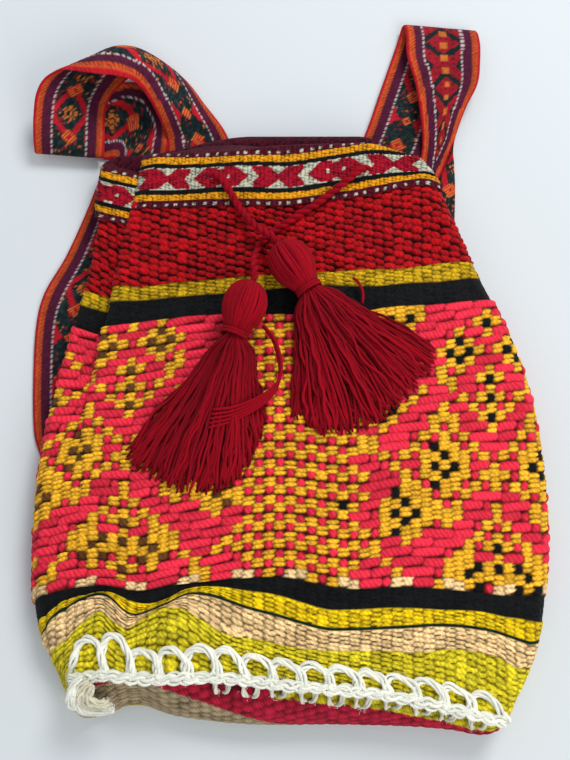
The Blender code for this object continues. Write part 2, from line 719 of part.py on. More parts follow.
def tassel(side, spot):
    """A bundle of yarn: a round head, a bound neck and a skirt that fans out over the cloth."""
    head, aim, length = aim_of(spot)
    cross = np.array([aim[1], -aim[0]])
    low, high = sorted(float((np.array(spot[end]) - head) @ cross) for end in ("left", "right"))
    count = 2 * STRANDS

    def ring(along, half_low, half_high, rise, bottom, scallop, ragged=0.0, loose=0.0):
        points = []
        firm = on_front(*head, 0.0)[2]
        for i in range(count):
            turn = 2 * math.pi * i / count
            c, s = math.cos(turn), math.sin(turn)
            wide = half_high if c > 0 else -half_low
            dent = 1 - scallop * (i % 2)
            reach = along + ragged * math.sin(5.3 * i) * max(0.0, s)
            x, y = head + aim * reach + cross * (wide * c * dent)
            seat = firm + (on_front(x, y, 0.0)[2] - firm) * loose
            points.append((x, y, seat + bottom + rise * (0.5 + 0.5 * s * dent)))
        return points

    rings = []
    for turn in np.linspace(HEAD_TOP, math.radians(128), 6):
        r = HEAD_R * math.sin(turn)
        rings.append(ring(-HEAD_R * HEAD_STRETCH * math.cos(turn), -r, r, 2 * r, HEAD_R - r, 0.05))
    for at in (NECK_AT - NECK_HALF, NECK_AT + NECK_HALF):
        rings.append(ring(at, -NECK_R, NECK_R, 2 * NECK_R, HEAD_R - NECK_R, 0.0))
    for share in (0.12, 0.28, 0.5, 0.75, 1.0):
        half_low = -NECK_R + (low + NECK_R) * share**SKIRT_FLARE
        half_high = NECK_R + (high - NECK_R) * share**SKIRT_FLARE
        settle = (HEAD_R - NECK_R) * (1 - share) ** 3
        thick = 2 * NECK_R + (SKIRT_T - 2 * NECK_R) * share
        at = NECK_AT + (length - NECK_AT) * share
        loose = float(smooth(0.0, 0.4, share))
        scallop = 0.10 + 0.06 * share
        rings.append(ring(at, half_low, half_high, thick, settle, scallop, 0.004 * share, loose))
    bm = bmesh.new()
    made = add_rings(bm, rings)
    for first, second in zip(made, made[1:]):
        bridge(bm, first, second)
    bm.faces.new(made[0])
    bm.faces.new(made[-1])
    yarn = finish(bm, f"{side}_tassel_yarn", crimson())

    middle = np.array([*(head + aim * NECK_AT), on_front(*head, HEAD_R)[2]])
    radius = NECK_R + BINDING_R + CLEARANCE
    hoop = []
    for turn in np.linspace(0, 2 * math.pi, 16, endpoint=False):
        flat = cross * radius * math.cos(turn)
        hoop.append((middle[0] + flat[0], middle[1] + flat[1], middle[2] + radius * math.sin(turn)))
    binding = tube(f"{side}_tassel_binding", hoop, 2 * BINDING_R, sides=6, closed=True)
    binding.data.materials.append(crimson())
    return yarn, binding


def strap(name, rails):
    """A woven band of even thickness, swept along its two edges."""
    edges = np.array(rails)
    both = spread_pairs(edges, STRAP_STEP)
    tangent = np.gradient(both.mean(axis=1), axis=0)
    across = both[:, 1] - both[:, 0]
    normal = np.cross(tangent, across)
    normal /= np.linalg.norm(normal, axis=1)[:, None]
    shares = np.linspace(0, 1, STRAP_COLUMNS + 1)
    rings = []
    for (left, right), n in zip(both, normal):
        over = [left + (right - left) * s + n * STRAP_T / 2 for s in shares]
        under = [left + (right - left) * s - n * STRAP_T / 2 for s in shares[::-1]]
        rings.append(over + under)
    bm = bmesh.new()
    made = add_rings(bm, rings)
    for first, second in zip(made, made[1:]):
        bridge(bm, first, second)
    bm.faces.new(made[0])
    bm.faces.new(made[-1])
    return finish(bm, name, material("strap_yarn", (0.30, 0.02, 0.04, 1.0)))


def spread_pairs(edges, spacing):
    """Pairs of edge points an even distance apart along a strap."""
    count = len(edges)
    padded = np.concatenate([2 * edges[:1] - edges[1:2], edges, 2 * edges[-1:] - edges[-2:-1]])
    fine = []
    for a, b, c, d in zip(padded, padded[1:], padded[2:], padded[3:]):
        for t in np.linspace(0, 1, 16, endpoint=False):
            fine.append(0.5 * (2 * b + (c - a) * t + (2 * a - 5 * b + 4 * c - d) * t**2
                               + (3 * b - a - 3 * c + d) * t**3))
    fine = np.array(fine + [edges[-1]])
    fine[:, :, 2] = np.maximum(fine[:, :, 2], STRAP_LAY)
    step = np.linalg.norm(np.diff(fine, axis=0), axis=2).max(axis=1)
    along = np.concatenate([[0.0], np.cumsum(step)])
    at = np.linspace(0, along[-1], max(count, round(along[-1] / spacing)))
    flat = fine.reshape(len(fine), 6)
    return np.column_stack([np.interp(at, along, flat[:, k]) for k in range(6)]).reshape(-1, 2, 3)


def underside(x, y):
    """Height of the back's underside at a place that the mouth band doesn't cover."""
    v = (y - BACK_SEAM_Y) / (BACK_RIM_Y - BACK_SEAM_Y)
    side, centre, *_ = layer_heights(v)
    return float(side + (centre - side) * smooth(REST_EDGE, REST_HALF, abs(x))) - CLOTH_T / 2


def strap_sewing(name, first, second, outward):
    """Overcast stitches along a strap's cut end, from under it up to the cloth of the back."""
    first, second = np.array(first), np.array(second)
    width = np.linalg.norm(second - first)
    waves = int(width / SEWING_WAVE)
    path = []
    for i in range(4 * waves + 1):
        x, y, z = first + (second - first) * i / (4 * waves)
        y += outward * (CLEARANCE + SEWING_D / 2)
        top = underside(x, y) - CLEARANCE - SEWING_D / 2
        bottom = z - STRAP_T / 2 + SEWING_D / 2 + FLOOR_ROOM
        path.append((x, y, (top + bottom) / 2 + (top - bottom) / 2 * math.sin(math.pi * i / 2)))
    sewing = tube(name, path, SEWING_D, sides=5)
    sewing.data.materials.append(material("red_thread", (0.35, 0.01, 0.02, 1.0)))
    return sewing


def build():
    for obj in list(bpy.data.objects):
        bpy.data.objects.remove(obj, do_unlink=True)
    bag_body()
    base_panel()
    base_seam_stitching()
    mouth_band()
    drawcord_in_casing()
    for side in TAILS:
        cord_curve(f"drawcord_{side}_tail", tail_path(side), CORD_D)
    for side, spot in TASSELS.items():
        tassel(side, spot)
    for side, rails in (("left", LEFT_STRAP), ("right", RIGHT_STRAP)):
        strap(f"{side}_strap", rails)
        strap_sewing(f"{side}_strap_top_sewing", *rails[0], -1.0)
        strap_sewing(f"{side}_strap_bottom_sewing", *rails[-1], -1.0)


build()
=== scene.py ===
import math

import bmesh
import bpy
import numpy as np
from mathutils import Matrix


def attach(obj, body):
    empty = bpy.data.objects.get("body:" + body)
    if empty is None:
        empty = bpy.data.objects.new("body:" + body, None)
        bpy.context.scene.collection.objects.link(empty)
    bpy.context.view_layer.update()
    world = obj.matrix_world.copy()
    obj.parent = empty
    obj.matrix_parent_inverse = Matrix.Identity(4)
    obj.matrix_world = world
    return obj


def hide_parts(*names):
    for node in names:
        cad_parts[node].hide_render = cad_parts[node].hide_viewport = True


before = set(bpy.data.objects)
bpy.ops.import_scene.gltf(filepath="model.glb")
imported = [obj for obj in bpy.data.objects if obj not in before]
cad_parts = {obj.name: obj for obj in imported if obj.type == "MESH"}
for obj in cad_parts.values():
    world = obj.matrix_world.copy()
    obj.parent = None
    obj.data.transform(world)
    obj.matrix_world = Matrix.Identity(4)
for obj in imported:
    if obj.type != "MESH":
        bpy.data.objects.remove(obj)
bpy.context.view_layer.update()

# The photograph's view: the lens, how far the camera stands from the bag's middle and how far it leans
PHOTO_W, PHOTO_H = 570, 760
FOCAL_PX = 866.7
CAMERA_D = 0.520
CAMERA_LEAN = math.radians(10)
CAMERA_EYE = (0.0, -CAMERA_D * math.sin(CAMERA_LEAN), CAMERA_D * math.cos(CAMERA_LEAN))

# Cloth, band, strap and yarn thicknesses, as in the solids
CLOTH_T = 0.0032
LEAF_T = 0.0018
STRAP_T = 0.0024
CORD_D = 0.0046
CLEARANCE = 0.0003

# The bag's length: where the front and back layers start at the base and end at the mouth
FRONT_SEAM_Y = -0.170
FRONT_RIM_Y = 0.136
BACK_SEAM_Y = -0.190
BACK_RIM_Y = 0.151
BAG_LENGTH = FRONT_RIM_Y - FRONT_SEAM_Y
# Shares of that length: where the woven body ends inside the mouth's band, and where the band starts
BODY_TOP_V = 0.925
BAND_BOTTOM_V = 0.887

# Side edges as (share of the length from base to mouth, x)
RIGHT_EDGE = (
    (0.0, 0.118),
    (0.10, 0.1355),
    (0.28, 0.1455),
    (0.46, 0.1445),
    (0.62, 0.1335),
    (0.82, 0.1040),
    (0.92, 0.0900),
    (1.0, 0.0840),
)
LEFT_EDGE = (
    (0.0, -0.115),
    (0.055, -0.123),
    (0.12, -0.1335),
    (0.28, -0.1395),
    (0.46, -0.137),
    (0.62, -0.128),
    (0.82, -0.114),
    (1.0, -0.106),
)
# How far the front layer's seam, rim and bands lie up or down the bag, as (x, shift)
SEAM_SHIFT = ((-0.12, 0.001), (-0.06, -0.001), (0.0, -0.001), (0.05, -0.005), (0.12, -0.021))
RIM_SHIFT = ((-0.11, -0.006), (-0.05, -0.002), (0.0, 0.0), (0.05, 0.001), (0.088, 0.001))
# The mouth's right corner is folded down along this line, as (x, y)
CORNER_LINE = (
    (0.050, 0.1450),
    (0.064, 0.1385),
    (0.073, 0.1330),
    (0.078, 0.1298),
    (0.0856, 0.1232),
    (0.0900, 0.1185),
    (0.0970, 0.1160),
)
# How much of what stands past that line is drawn back, and how much of it turns down
CORNER_BACK = 0.92
CORNER_DOWN = 0.30
# How far the back's rim sinks at the left and at the right of the mouth
BACK_LEFT_DROP = 0.013
BACK_RIGHT_DROP = 0.012
# How far the tuck's lower layer sinks at the mouth, and how much more so towards its fold
SIDE_DROP = 0.0145
SIDE_SLOPE = 0.30
# The hollow of the base near its left corner: where, how wide and how deep
HOLLOW_X = -0.082
HOLLOW_SPAN = 0.015
HOLLOW = 0.006

# Height of the middle of the cloth's thickness above the table, and the rounds of its side edges
SIDE_LIFT = 0.0045
CENTRE_LIFT = CLOTH_T / 2
MOUTH_LIFT = 0.0084
SEAM_LIFT = 0.0066
RIGHT_ROUND = 0.0085
LEFT_ROUND = 0.0042
MOUTH_ROUND = 0.0091
MOUTH_LEFT_ROUND = 0.0046
# How high the front's middle lies, as (share of the length, height)
FRONT_HEIGHT = ((0.0, 0.0290), (0.12, 0.0345), (0.45, 0.0360), (0.75, 0.0330), (1.0, 0.0274))
# The back lies on the table out to REST_HALF from the middle, and is lifted from REST_EDGE on
REST_HALF = 0.050
REST_EDGE = 0.058

# The tuck down the left of the front: its fold line from the mouth to where it ends, the fold's width,
# how far the upper layer laps over the lower, and how much it rises beside the fold
TUCK_MOUTH_X = -0.0775
TUCK_END_X = -0.1145
TUCK_END_V = 0.42
TUCK_WIDTH = 0.004
TUCK_LAP = 0.0056
TUCK_RISE = 0.0042
TUCK_RISE_SPAN = 0.014

# The right corner of the mouth rolls over
ROLL_X = 0.045
ROLL_SPAN = 0.035
ROLL_Y = 0.006
ROLL_DROP = 0.002

# Folds above the base, as (x, half width, height, shift up the bag)
LOWER_FOLDS = ((-0.098, 0.020, 0.0035, 0.009), (-0.045, 0.034, 0.0040, 0.012))
LOWER_FOLD_V = 0.075
LOWER_FOLD_REACH = 0.075
# The crease where the layers above lap down between the folds: along x, how wide and how high
CREASE_X = -0.080
CREASE_SPAN = 0.030
CREASE_LIFT = 0.0022

# The weave: the width of one column of warp, and the bands from the base up, as
# (where the band ends on the back, yarn, weave, courses of weft)
COLUMN = 0.0057
BANDS = (
    (0.066, "olive", "grain", 10),
    (0.110, "peach", "grain", 5),
    (0.119, "dark_green", "thin", 1),
    (0.148, "yellow", "thin", 4),
    (0.176, "black", "thin", 5),
    (0.672, "pink", "field", 30),
    (0.712, "black", "thin", 5),
    (0.742, "golden", "thin", 4),
    (0.887, "red", "fat", 11),
)
# Which of the bands is the figured field
FIELD_BAND = 5
# The last band runs on under the casing for some courses, and on the front so far up the bag
HIDDEN_COURSES = 2
HIDDEN_REACH = 0.030
# Mesh rows to each course, relief, and half the length and height of a float in columns and courses
WEAVES = {
    "thin": (3, 0.0014, 0.66, 0.62),
    "grain": (4, 0.0018, 0.68, 0.58),
    "fat": (6, 0.0028, 0.70, 0.56),
    "field": (6, 0.0027, 0.66, 0.57),
}
# How much the floats lean, in courses to a column
WEAVE_LEAN = -0.22
# How much of its colour a yarn keeps in the gaps between the floats, where painted shade darkens it
GAP_SHADE_FLOORS = {"thin": 0.22, "grain": 0.26, "fat": 0.05, "field": 0.10}
# The black bands are flatter than their weave
BLACK_RELIEF = 0.45
# How deep the floats are bedded in the cloth, and the share of the relief that the highest reach
WEAVE_BED = 0.0006
WEAVE_MOST = 1.07
# Mesh steps over the front, under the back and round the inside, and the sections to read between
FRONT_STEPS = 372
BACK_STEPS = 132
INSIDE_STEPS = 240
STATIONS = 240
# Points to each quarter of a side's round, and how many of them the back's steps take
ROUND_POINTS = 24
ROUND_START = 8
# Between these heights above the side's middle a row passes from the back's course to the front's, on
# the cloth and on the mouth's band
CLOTH_TURN = (0.004, 0.011)
BAND_TURN = (0.0015, 0.006)

# Where the photograph shows the edges between the bands on the front, from the base up to the
# casing, as (across, down) in its pixels
BAND_EDGES_PX = (
    ((45, 652), (60, 646), (75, 630), (90, 617), (100, 611), (115, 622), (127, 628), (140, 619),
     (160, 608), (180, 607), (200, 618), (225, 633), (260, 639), (290, 646), (330, 650), (380, 650),
     (420, 652), (450, 648), (480, 652), (500, 657), (520, 668)),
    ((38, 632), (50, 622), (70, 608), (88, 599), (110, 598), (125, 611), (137, 615), (150, 611),
     (165, 605), (190, 594), (205, 595), (240, 606), (280, 617), (300, 623), (330, 630), (350, 630),
     (400, 628), (440, 626), (470, 628), (500, 634), (530, 644)),
    ((38, 629), (50, 619), (70, 605), (88, 596), (110, 595), (125, 609), (137, 613), (150, 609),
     (165, 603), (190, 592), (205, 592), (240, 603), (280, 614), (300, 620), (330, 627), (350, 627),
     (400, 625), (440, 623), (470, 625), (500, 631), (530, 641)),
    ((35, 615), (60, 603), (90, 594), (110, 592), (130, 600), (142, 603), (165, 599), (185, 589),
     (215, 586), (240, 589), (280, 595), (300, 601), (330, 609), (350, 609), (400, 607), (440, 609),
     (480, 611), (520, 618), (545, 622)),
    ((35, 593), (60, 590), (97, 585), (130, 590), (165, 586), (200, 582), (240, 578), (290, 577),
     (310, 581), (350, 588), (400, 586), (440, 588), (480, 592), (520, 595), (545, 594)),
    ((114, 325), (122, 324), (153, 320), (186, 316), (217, 314), (369, 310), (386, 307), (410, 305),
     (436, 304), (462, 301), (490, 299)),
    ((118, 300), (124, 300), (179, 296), (222, 293), (326, 284), (350, 285), (376, 285), (410, 282),
     (436, 281), (462, 278), (479, 276)),
    ((122, 285), (128, 286), (179, 282), (217, 279), (247, 276), (312, 273), (342, 271), (376, 269),
     (397, 269), (419, 266), (441, 263), (469, 261)),
    ((142, 209), (204, 207), (247, 207), (291, 207), (322, 203), (354, 198), (383, 192), (409, 187),
     (427, 185)),
)

# The mouth band's casing: the room round the cord, how far its leaves lie from the cloth's middle at
# its lower edge and over the cord, and where the cord runs
CASING_ROOM = 0.0013
BAND_GAP_LOW = CLOTH_T / 2 + CLEARANCE
BAND_GAP_CORD = CORD_D / 2 + CASING_ROOM
BAND_OUT = BAND_GAP_CORD + LEAF_T
CORD_V = 0.955
# Where the band starts to turn over the mouth's edge, and how far it stands up there
BAND_FOLD_V = 0.990
BAND_FOLD_RISE = 0.012
# The cord's eyelets, and its way out through one, as (share of the reach inward, v, how far out)
EYELET_X = {"left": -0.043, "right": 0.049}
EYELET_REACH = 0.015
EYELET_STEPS = (
    (-1.0, CORD_V, 0.0),
    (-0.6, CORD_V - 0.001, 0.0),
    (0.0, CORD_V - 0.008, 0.0040),
    (0.45, CORD_V - 0.022, 0.0094),
)

# How far things laid on the cloth stand off it, over the ridges of its weave
SEAT = 0.0006
RIDGE_HEIGHT = 0.0007
# How far apart the points of a tail's route are
TAIL_STEP = 0.0062
# The thickness and the twist of the cord's two plies
PLY_R = CORD_D * 0.275
PLY_PITCH = 0.0105
# The cord's tails, as (x, y, height of the middle above the cloth), and the tassel that each holds
TAILS = {
    "left": (((-0.0265, 0.0960, 0.0044), (-0.0190, 0.0850, 0.0082), (-0.0125, 0.0785, 0.0104)), "right"),
    "right": (((0.0230, 0.1005, 0.0040), (0.0060, 0.0890, 0.0027), (-0.0100, 0.0780, 0.0027),
               (-0.0160, 0.0680, 0.0044), (-0.0175, 0.0590, 0.0092)), "left"),
}

# Tassels: where the head lies, where the skirt's tip and the ends of its fan lie, and the loose yarns
# apart from it with how many they are and how high they lie, as a share of the skirt's thickness
TASSELS = {
    "left": {
        "head": (-0.0225, 0.0345), "tip": (-0.0540, -0.0600),
        "fan": ((-0.0900, -0.0470), (-0.0745, -0.0605), (-0.0540, -0.0690), (-0.0340, -0.0680),
                (-0.0235, -0.0590), (-0.0110, -0.0260)),
        "stray": ((-0.0120, 0.0230), (-0.0060, 0.0130), (-0.0028, -0.0030), (-0.0060, -0.0150),
                  (-0.0160, -0.0240), (-0.0300, -0.0310), (-0.0420, -0.0340)),
        "stray_yarns": 5,
        "stray_rise": 0.86,
        "seed": 11,
    },
    "right": {
        "head": (0.0040, 0.0580), "tip": (0.0560, -0.0220),
        "fan": ((0.0040, -0.0260), (0.0150, -0.0350), (0.0290, -0.0375), (0.0466, -0.0320),
                (0.0661, -0.0182), (0.0815, -0.0003), (0.0860, 0.0120)),
        "stray": ((0.0385, 0.0520), (0.0412, 0.0500), (0.0440, 0.0440), (0.0436, 0.0370)),
        "stray_yarns": 1,
        "stray_rise": 0.42,
        "seed": 23,
    },
}
# A tassel's head: its radius, how much longer it is, how far from its top the yarns start and how
# far the cord's end stays off it. Then the neck, the skirt's thickness and its swell under the neck,
# the yarn, and how many yarns and turns of the binding there are
HEAD_R = 0.0120
HEAD_STRETCH = 1.15
HEAD_TOP = math.radians(24)
HEAD_GAP = 0.0008
NECK_AT = 0.0172
NECK_R = 0.0062
SKIRT_T = 0.0105
SKIRT_BULGE = 0.0068
TASSEL_YARN_D = 0.0017
TASSEL_YARNS = 230
HEAD_YARNS = 96
WRAPS = 2

# Blanket stitches: how far apart, the yarn, where the first and the last stand, how far off the
# cloth's middle they are and how far up the bag the seam runs
STITCH_PITCH = 0.0150
STITCH_YARN_D = 0.0019
STITCH_ENDS = (-0.112, 0.114)
STITCH_OFF = CLOTH_T / 2 + 0.0018
STITCH_SEAM = 0.004
# A loop's height at the left and what it loses towards the right, how many loops at the left are
# taller and by how much, and the first stitch whose leg shows
LOOP_TALL = 0.0112
LOOP_LOSS = 0.0020
TALL_LOOPS = 2
TALL_LOOP = 1.40
FIRST_LEG = 5
# The white yarn's loose fibres: how many and how long
STITCH_FUZZ = 2200
FUZZ_REACH = 0.0034
# One loop, as (share of the pitch along, share of its height, how far out)
LOOP_SHAPE = (
    (-0.04, 0.0, 0.0),
    (-0.04, 0.55, 0.0),
    (0.14, 0.92, 0.0002),
    (0.42, 1.0, 0.0004),
    (0.76, 0.82, 0.0008),
    (1.00, 0.45, 0.0010),
    (1.16, 0.0, 0.0004),
)


def srgb(red, green, blue):
    """A colour given as it looks on screen, from 0 to 255, in the linear values that Blender uses."""
    part = np.array([red, green, blue], float) / 255
    return np.where(part <= 0.04045, part / 12.92, ((part + 0.055) / 1.055) ** 2.4)


# The yarn's fibres: how fine, how deep, and how broad the patches of uneven dye are
FIBRE_SCALE = 1 / 0.0024
FIBRE_DEPTH = 0.0004
DYE_SCALE = 55.0
YARNS = {
    "olive": srgb(226, 208, 38),
    "peach": srgb(255, 215, 154),
    "dark_green": srgb(10, 44, 30),
    "yellow": srgb(242, 204, 14),
    "golden": srgb(204, 164, 18),
    "black": srgb(14, 17, 20),
    "pink": srgb(234, 46, 70),
    "figure": srgb(250, 184, 42),
    "dot": srgb(14, 16, 18),
    "left_dot": srgb(96, 60, 28),
    "red": srgb(176, 8, 20),
    "maroon": srgb(84, 12, 36),
    "band_gold": srgb(236, 160, 20),
    "band_white": srgb(196, 196, 176),
    "band_red": srgb(166, 10, 38),
    "crimson": srgb(156, 2, 26),
    "white": srgb(246, 248, 236),
    "base_red": srgb(190, 30, 60),
    "beige": srgb(178, 158, 124),
    "strap_red": srgb(205, 28, 44),
    "strap_orange": srgb(222, 90, 44),
    "strap_purple": srgb(88, 26, 56),
    "strap_dark": srgb(24, 38, 40),
    "strap_white": srgb(214, 196, 196),
    "strap_field": srgb(186, 26, 46),
    "strap_floret": srgb(232, 130, 56),
}


def smooth(low, high, x):
    """0 below low, 1 above high and an even S between them."""
    t = np.clip((np.asarray(x, float) - low) / (high - low), 0.0, 1.0)
    return t * t * (3 - 2 * t)


def through(points, x):
    """A smooth curve through (place, value) points, level beyond its ends."""
    places, values = np.array(points, float).T
    slopes = np.gradient(values, places)
    x = np.clip(np.asarray(x, float), places[0], places[-1])
    i = np.clip(np.searchsorted(places, x, side="right") - 1, 0, len(places) - 2)
    step = places[i + 1] - places[i]
    t = (x - places[i]) / step
    rise = values[i] + (values[i + 1] - values[i]) * t * t * (3 - 2 * t)
    return rise + step * (slopes[i] * t * (1 - t) ** 2 - slopes[i + 1] * t * t * (1 - t))


def hump(x, middle, half):
    """A hump: 1 in the middle, and fading out beside it."""
    return np.exp(-(((x - middle) / half) ** 2))


def travelled(points):
    """The distance along a path at each of its points."""
    steps = np.linalg.norm(np.diff(points, axis=0), axis=1)
    return np.concatenate([[0.0], np.cumsum(steps)])


def read_at(at, along, table):
    """The columns of a table read at places between those of its rows."""
    return np.column_stack([np.interp(at, along, column) for column in table.T])


def smooth_line(rows, steps):
    """Points on a smooth curve through rows of coordinates, with so many steps from each to the next."""
    rows = np.asarray(rows, float)
    padded = np.concatenate([2 * rows[:1] - rows[1:2], rows, 2 * rows[-1:] - rows[-2:-1]])
    fine = []
    for a, b, c, d in zip(padded, padded[1:], padded[2:], padded[3:]):
        for t in np.linspace(0, 1, steps, endpoint=False):
            bend = (2 * a - 5 * b + 4 * c - d) * t**2 + (3 * b - a - 3 * c + d) * t**3
            fine.append(0.5 * (2 * b + (c - a) * t + bend))
    return np.array(fine + [rows[-1]])


def tuck_x(v):
    """x of the tuck's fold line."""
    return TUCK_END_X + (TUCK_MOUTH_X - TUCK_END_X) * (v - TUCK_END_V) / (1 - TUCK_END_V)


def layer_heights(v):
    """Lift of the back layer at the sides and in the middle, the rounds at the right and left, and
    how far the tuck is laid."""
    mouth = smooth(0.78, BAND_BOTTOM_V, v)
    seam = smooth(0.05, 0.0, v)
    side = SIDE_LIFT + (MOUTH_LIFT - SIDE_LIFT) * mouth + (SEAM_LIFT - SIDE_LIFT) * seam
    centre = CENTRE_LIFT + (side - CENTRE_LIFT) * np.maximum(mouth, seam)
    tucked = smooth(TUCK_END_V - 0.12, TUCK_END_V + 0.25, v)
    right = RIGHT_ROUND + (MOUTH_ROUND - RIGHT_ROUND) * mouth
    left = RIGHT_ROUND + (LEFT_ROUND - RIGHT_ROUND) * tucked
    left = left + (MOUTH_LEFT_ROUND - left) * mouth
    return side, centre, right, left, tucked


def fold_lift(x, v):
    """Height and shift up the bag of the folds above the base."""
    near = hump(v, LOWER_FOLD_V, LOWER_FOLD_REACH)
    height, shift = 0.0, 0.0
    for middle, half, lift, push in LOWER_FOLDS:
        swell = hump(x, middle, half) * near
        height = height + lift * swell
        shift = shift + push * swell
    return height, shift


def slack(x, v):
    """Shallow dents and swells of thick cloth that lies slack."""
    broad = 0.0007 * np.sin(41 * x + 9.0 * v + 0.6) * np.sin(23 * v + 17 * x)
    return broad + 0.0005 * np.sin(97 * x - 31 * v + 1.9)


def front_layer(v, x_right, x_left):
    """The front at one station, from right to left: x, height, and how far each place belongs to the
    tuck's lower layer and to its fold."""
    side, _, right, left, tucked = (float(q) for q in layer_heights(v))
    top = float(through(FRONT_HEIGHT, v))
    middle, half = (x_right + x_left) / 2, (x_right - x_left) / 2
    fold_x = float(tuck_x(v))
    near_fold = fold_x + np.linspace(TUCK_WIDTH, -TUCK_WIDTH, 160)
    near_fold = near_fold[(near_fold > x_left + left) & (near_fold < x_right - right)]
    across = np.concatenate([np.linspace(x_right - right, x_left + left, 800), near_fold])
    across = -np.sort(-across)

    lapped = np.clip((fold_x + TUCK_WIDTH / 2 - across) / TUCK_WIDTH, 0.0, 1.0)
    beside = lapped**2 * (3 - 2 * lapped) * tucked
    swell = (1 - np.abs((across - middle) / half) ** 2.5).clip(0) ** 1.3
    ends = side + 2 * (right + (left - right) * smooth(0.4, -0.9, (across - middle) / half))
    low = side + 2 * left + 0.0015 * smooth(x_left, fold_x, across)
    ends = ends + (low - ends) * beside
    over = ends + (top - side - 2 * right) * swell * (1 - beside)
    over = over + TUCK_RISE * hump(across, fold_x, TUCK_RISE_SPAN) * tucked * (1 - beside)
    over = over + fold_lift(across, v)[0]
    within = smooth(0, 0.012, x_right - right - across) * smooth(0, 0.012, across - x_left - left)
    over = over + slack(across, v) * within

    across = across - TUCK_LAP * np.sin(2 * np.pi * lapped) * tucked
    lower = smooth(0.42, 0.62, lapped)
    folded = smooth(0.0, 0.3, lapped) * smooth(1.0, 0.7, lapped) * tucked
    return across, over, lower, folded


def section(v, count=BACK_STEPS + FRONT_STEPS):
    """The middle of the cloth round the bag at one station: points (x, z), outward normals, the
    distance round from the front's middle, and how far each point belongs to the tuck's lower layer
    and to its fold.

    The line starts at the back's middle and runs over the right edge, the front and the left edge.
    """
    side, centre, right, left, _ = (float(q) for q in layer_heights(v))
    x_right, x_left = float(through(RIGHT_EDGE, v)), float(through(LEFT_EDGE, v))
    across, over, lower, folded = front_layer(v, x_right, x_left)
    turn = np.radians(np.linspace(0, 90, ROUND_POINTS))
    below = np.linspace(x_left + left, x_right - right, 241)
    under = side + (centre - side) * smooth(REST_EDGE, REST_HALF, np.abs(below))
    round_right = (over[0] - side) / 2
    round_left = (over[-1] - side) / 2
    mid = len(below) // 2
    xs = np.concatenate([
        below[mid:-1],
        x_right - right + right * np.sin(turn),
        x_right - right + right * np.cos(turn[1:]),
        across[1:-1],
        x_left + left - left * np.sin(turn),
        x_left + left - left * np.cos(turn[1:]),
        below[1:mid + 1],
    ])
    zs = np.concatenate([
        under[mid:-1],
        side + round_right * (1 - np.cos(turn)),
        side + round_right * (1 + np.sin(turn[1:])),
        over[1:-1],
        side + round_left * (1 + np.cos(turn)),
        side + round_left * (1 - np.sin(turn[1:])),
        under[1:mid + 1],
    ])
    line = np.column_stack([xs, zs])
    before = mid + 2 * (len(turn) - 1)
    after = len(xs) - before - len(across[1:-1])
    faded = smooth(0.0, 0.6, (zs[-after:] - side) / (2 * left))
    lower = np.concatenate([np.zeros(before), lower[1:-1], lower[-1] * faded])
    folded = np.concatenate([np.zeros(before), folded[1:-1], np.zeros(after)])

    along = travelled(line)
    front = along[before + int(np.argmin(np.abs(xs[before:-after])))]
    begin = along[mid + ROUND_START]
    end = along[-1] - begin
    half_round = 2 * (BACK_STEPS + FRONT_STEPS)
    back_steps, front_steps = count * BACK_STEPS // half_round, count * FRONT_STEPS // half_round
    at = np.concatenate([
        np.linspace(0, begin, back_steps + 1),
        np.linspace(begin, front, front_steps + 1)[1:],
        np.linspace(front, end, front_steps + 1)[1:],
        np.linspace(end, along[-1], back_steps + 1)[1:],
    ])
    reach = 0.0009
    tangent = read_at(at + reach, along, line) - read_at(at - reach, along, line)
    normal = np.column_stack([tangent[:, 1], -tangent[:, 0]])
    normal /= np.hypot(*normal.T)[:, None] + 1e-12
    layers = read_at(at, along, np.column_stack([lower, folded]))
    return read_at(at, along, line), normal, front - at, layers


def place(x, z, v, lower=0.0):
    """Points in the frame for places on a section at v.

    y follows the front layer above and the back layer below, and the tuck's lower layer sinks.
    """
    side = layer_heights(v)[0]
    top = through(FRONT_HEIGHT, v)
    share = smooth(0.0, 1.0, (z - side) / (top - side))
    front_seam = FRONT_SEAM_Y + through(SEAM_SHIFT, x)
    front_rim = FRONT_RIM_Y + through(RIM_SHIFT, x)
    front = front_seam + (front_rim - front_seam) * v + fold_lift(x, v)[1]
    sunk = BACK_LEFT_DROP * smooth(-0.02, -0.095, x) + BACK_RIGHT_DROP * smooth(0.045, 0.085, x)
    back_rim = BACK_RIM_Y - sunk
    back_seam = BACK_SEAM_Y + HOLLOW * hump(x, HOLLOW_X, HOLLOW_SPAN)
    back = back_seam + (back_rim - back_seam) * v
    roll = smooth(ROLL_X, ROLL_X + ROLL_SPAN, x) * smooth(BAND_BOTTOM_V, 1.0, v) * share
    deep = np.clip((v - TUCK_END_V) / (1 - TUCK_END_V), 0.0, 1.0)
    drop = SIDE_DROP * deep + SIDE_SLOPE * (x - tuck_x(v)) * smooth(0.0, 0.35, deep)
    y = back + (front - back) * share - ROLL_Y * roll - drop * lower
    spare = np.maximum(y - through(CORNER_LINE, x), 0.0) * smooth(0.052, 0.064, x)
    return np.column_stack([x, y - CORNER_BACK * spare, z - ROLL_DROP * roll - CORNER_DOWN * spare])


def front_row(v, offset, xs):
    """Points on the front layer at one station for several x, offset outwards."""
    points, normal, _, layers = section(v)
    upper = points[:, 1] > float(layer_heights(v)[0]) + 0.008
    row = np.column_stack([points, normal, layers[:, :1]])[upper]
    leftmost = np.concatenate([[1.0], np.minimum.accumulate(row[:, 0])[:-1]])
    row = row[row[:, 0] < leftmost][::-1]
    at_x, at_z, out_x, out_z, lower = (np.interp(xs, row[:, 0], row[:, k]) for k in range(5))
    return place(at_x + out_x * offset, at_z + out_z * offset, v, lower)


def front_point(x, v, offset):
    """The point on the front layer at one x and station, offset outwards."""
    return front_row(v, offset, np.array([float(x)]))[0]


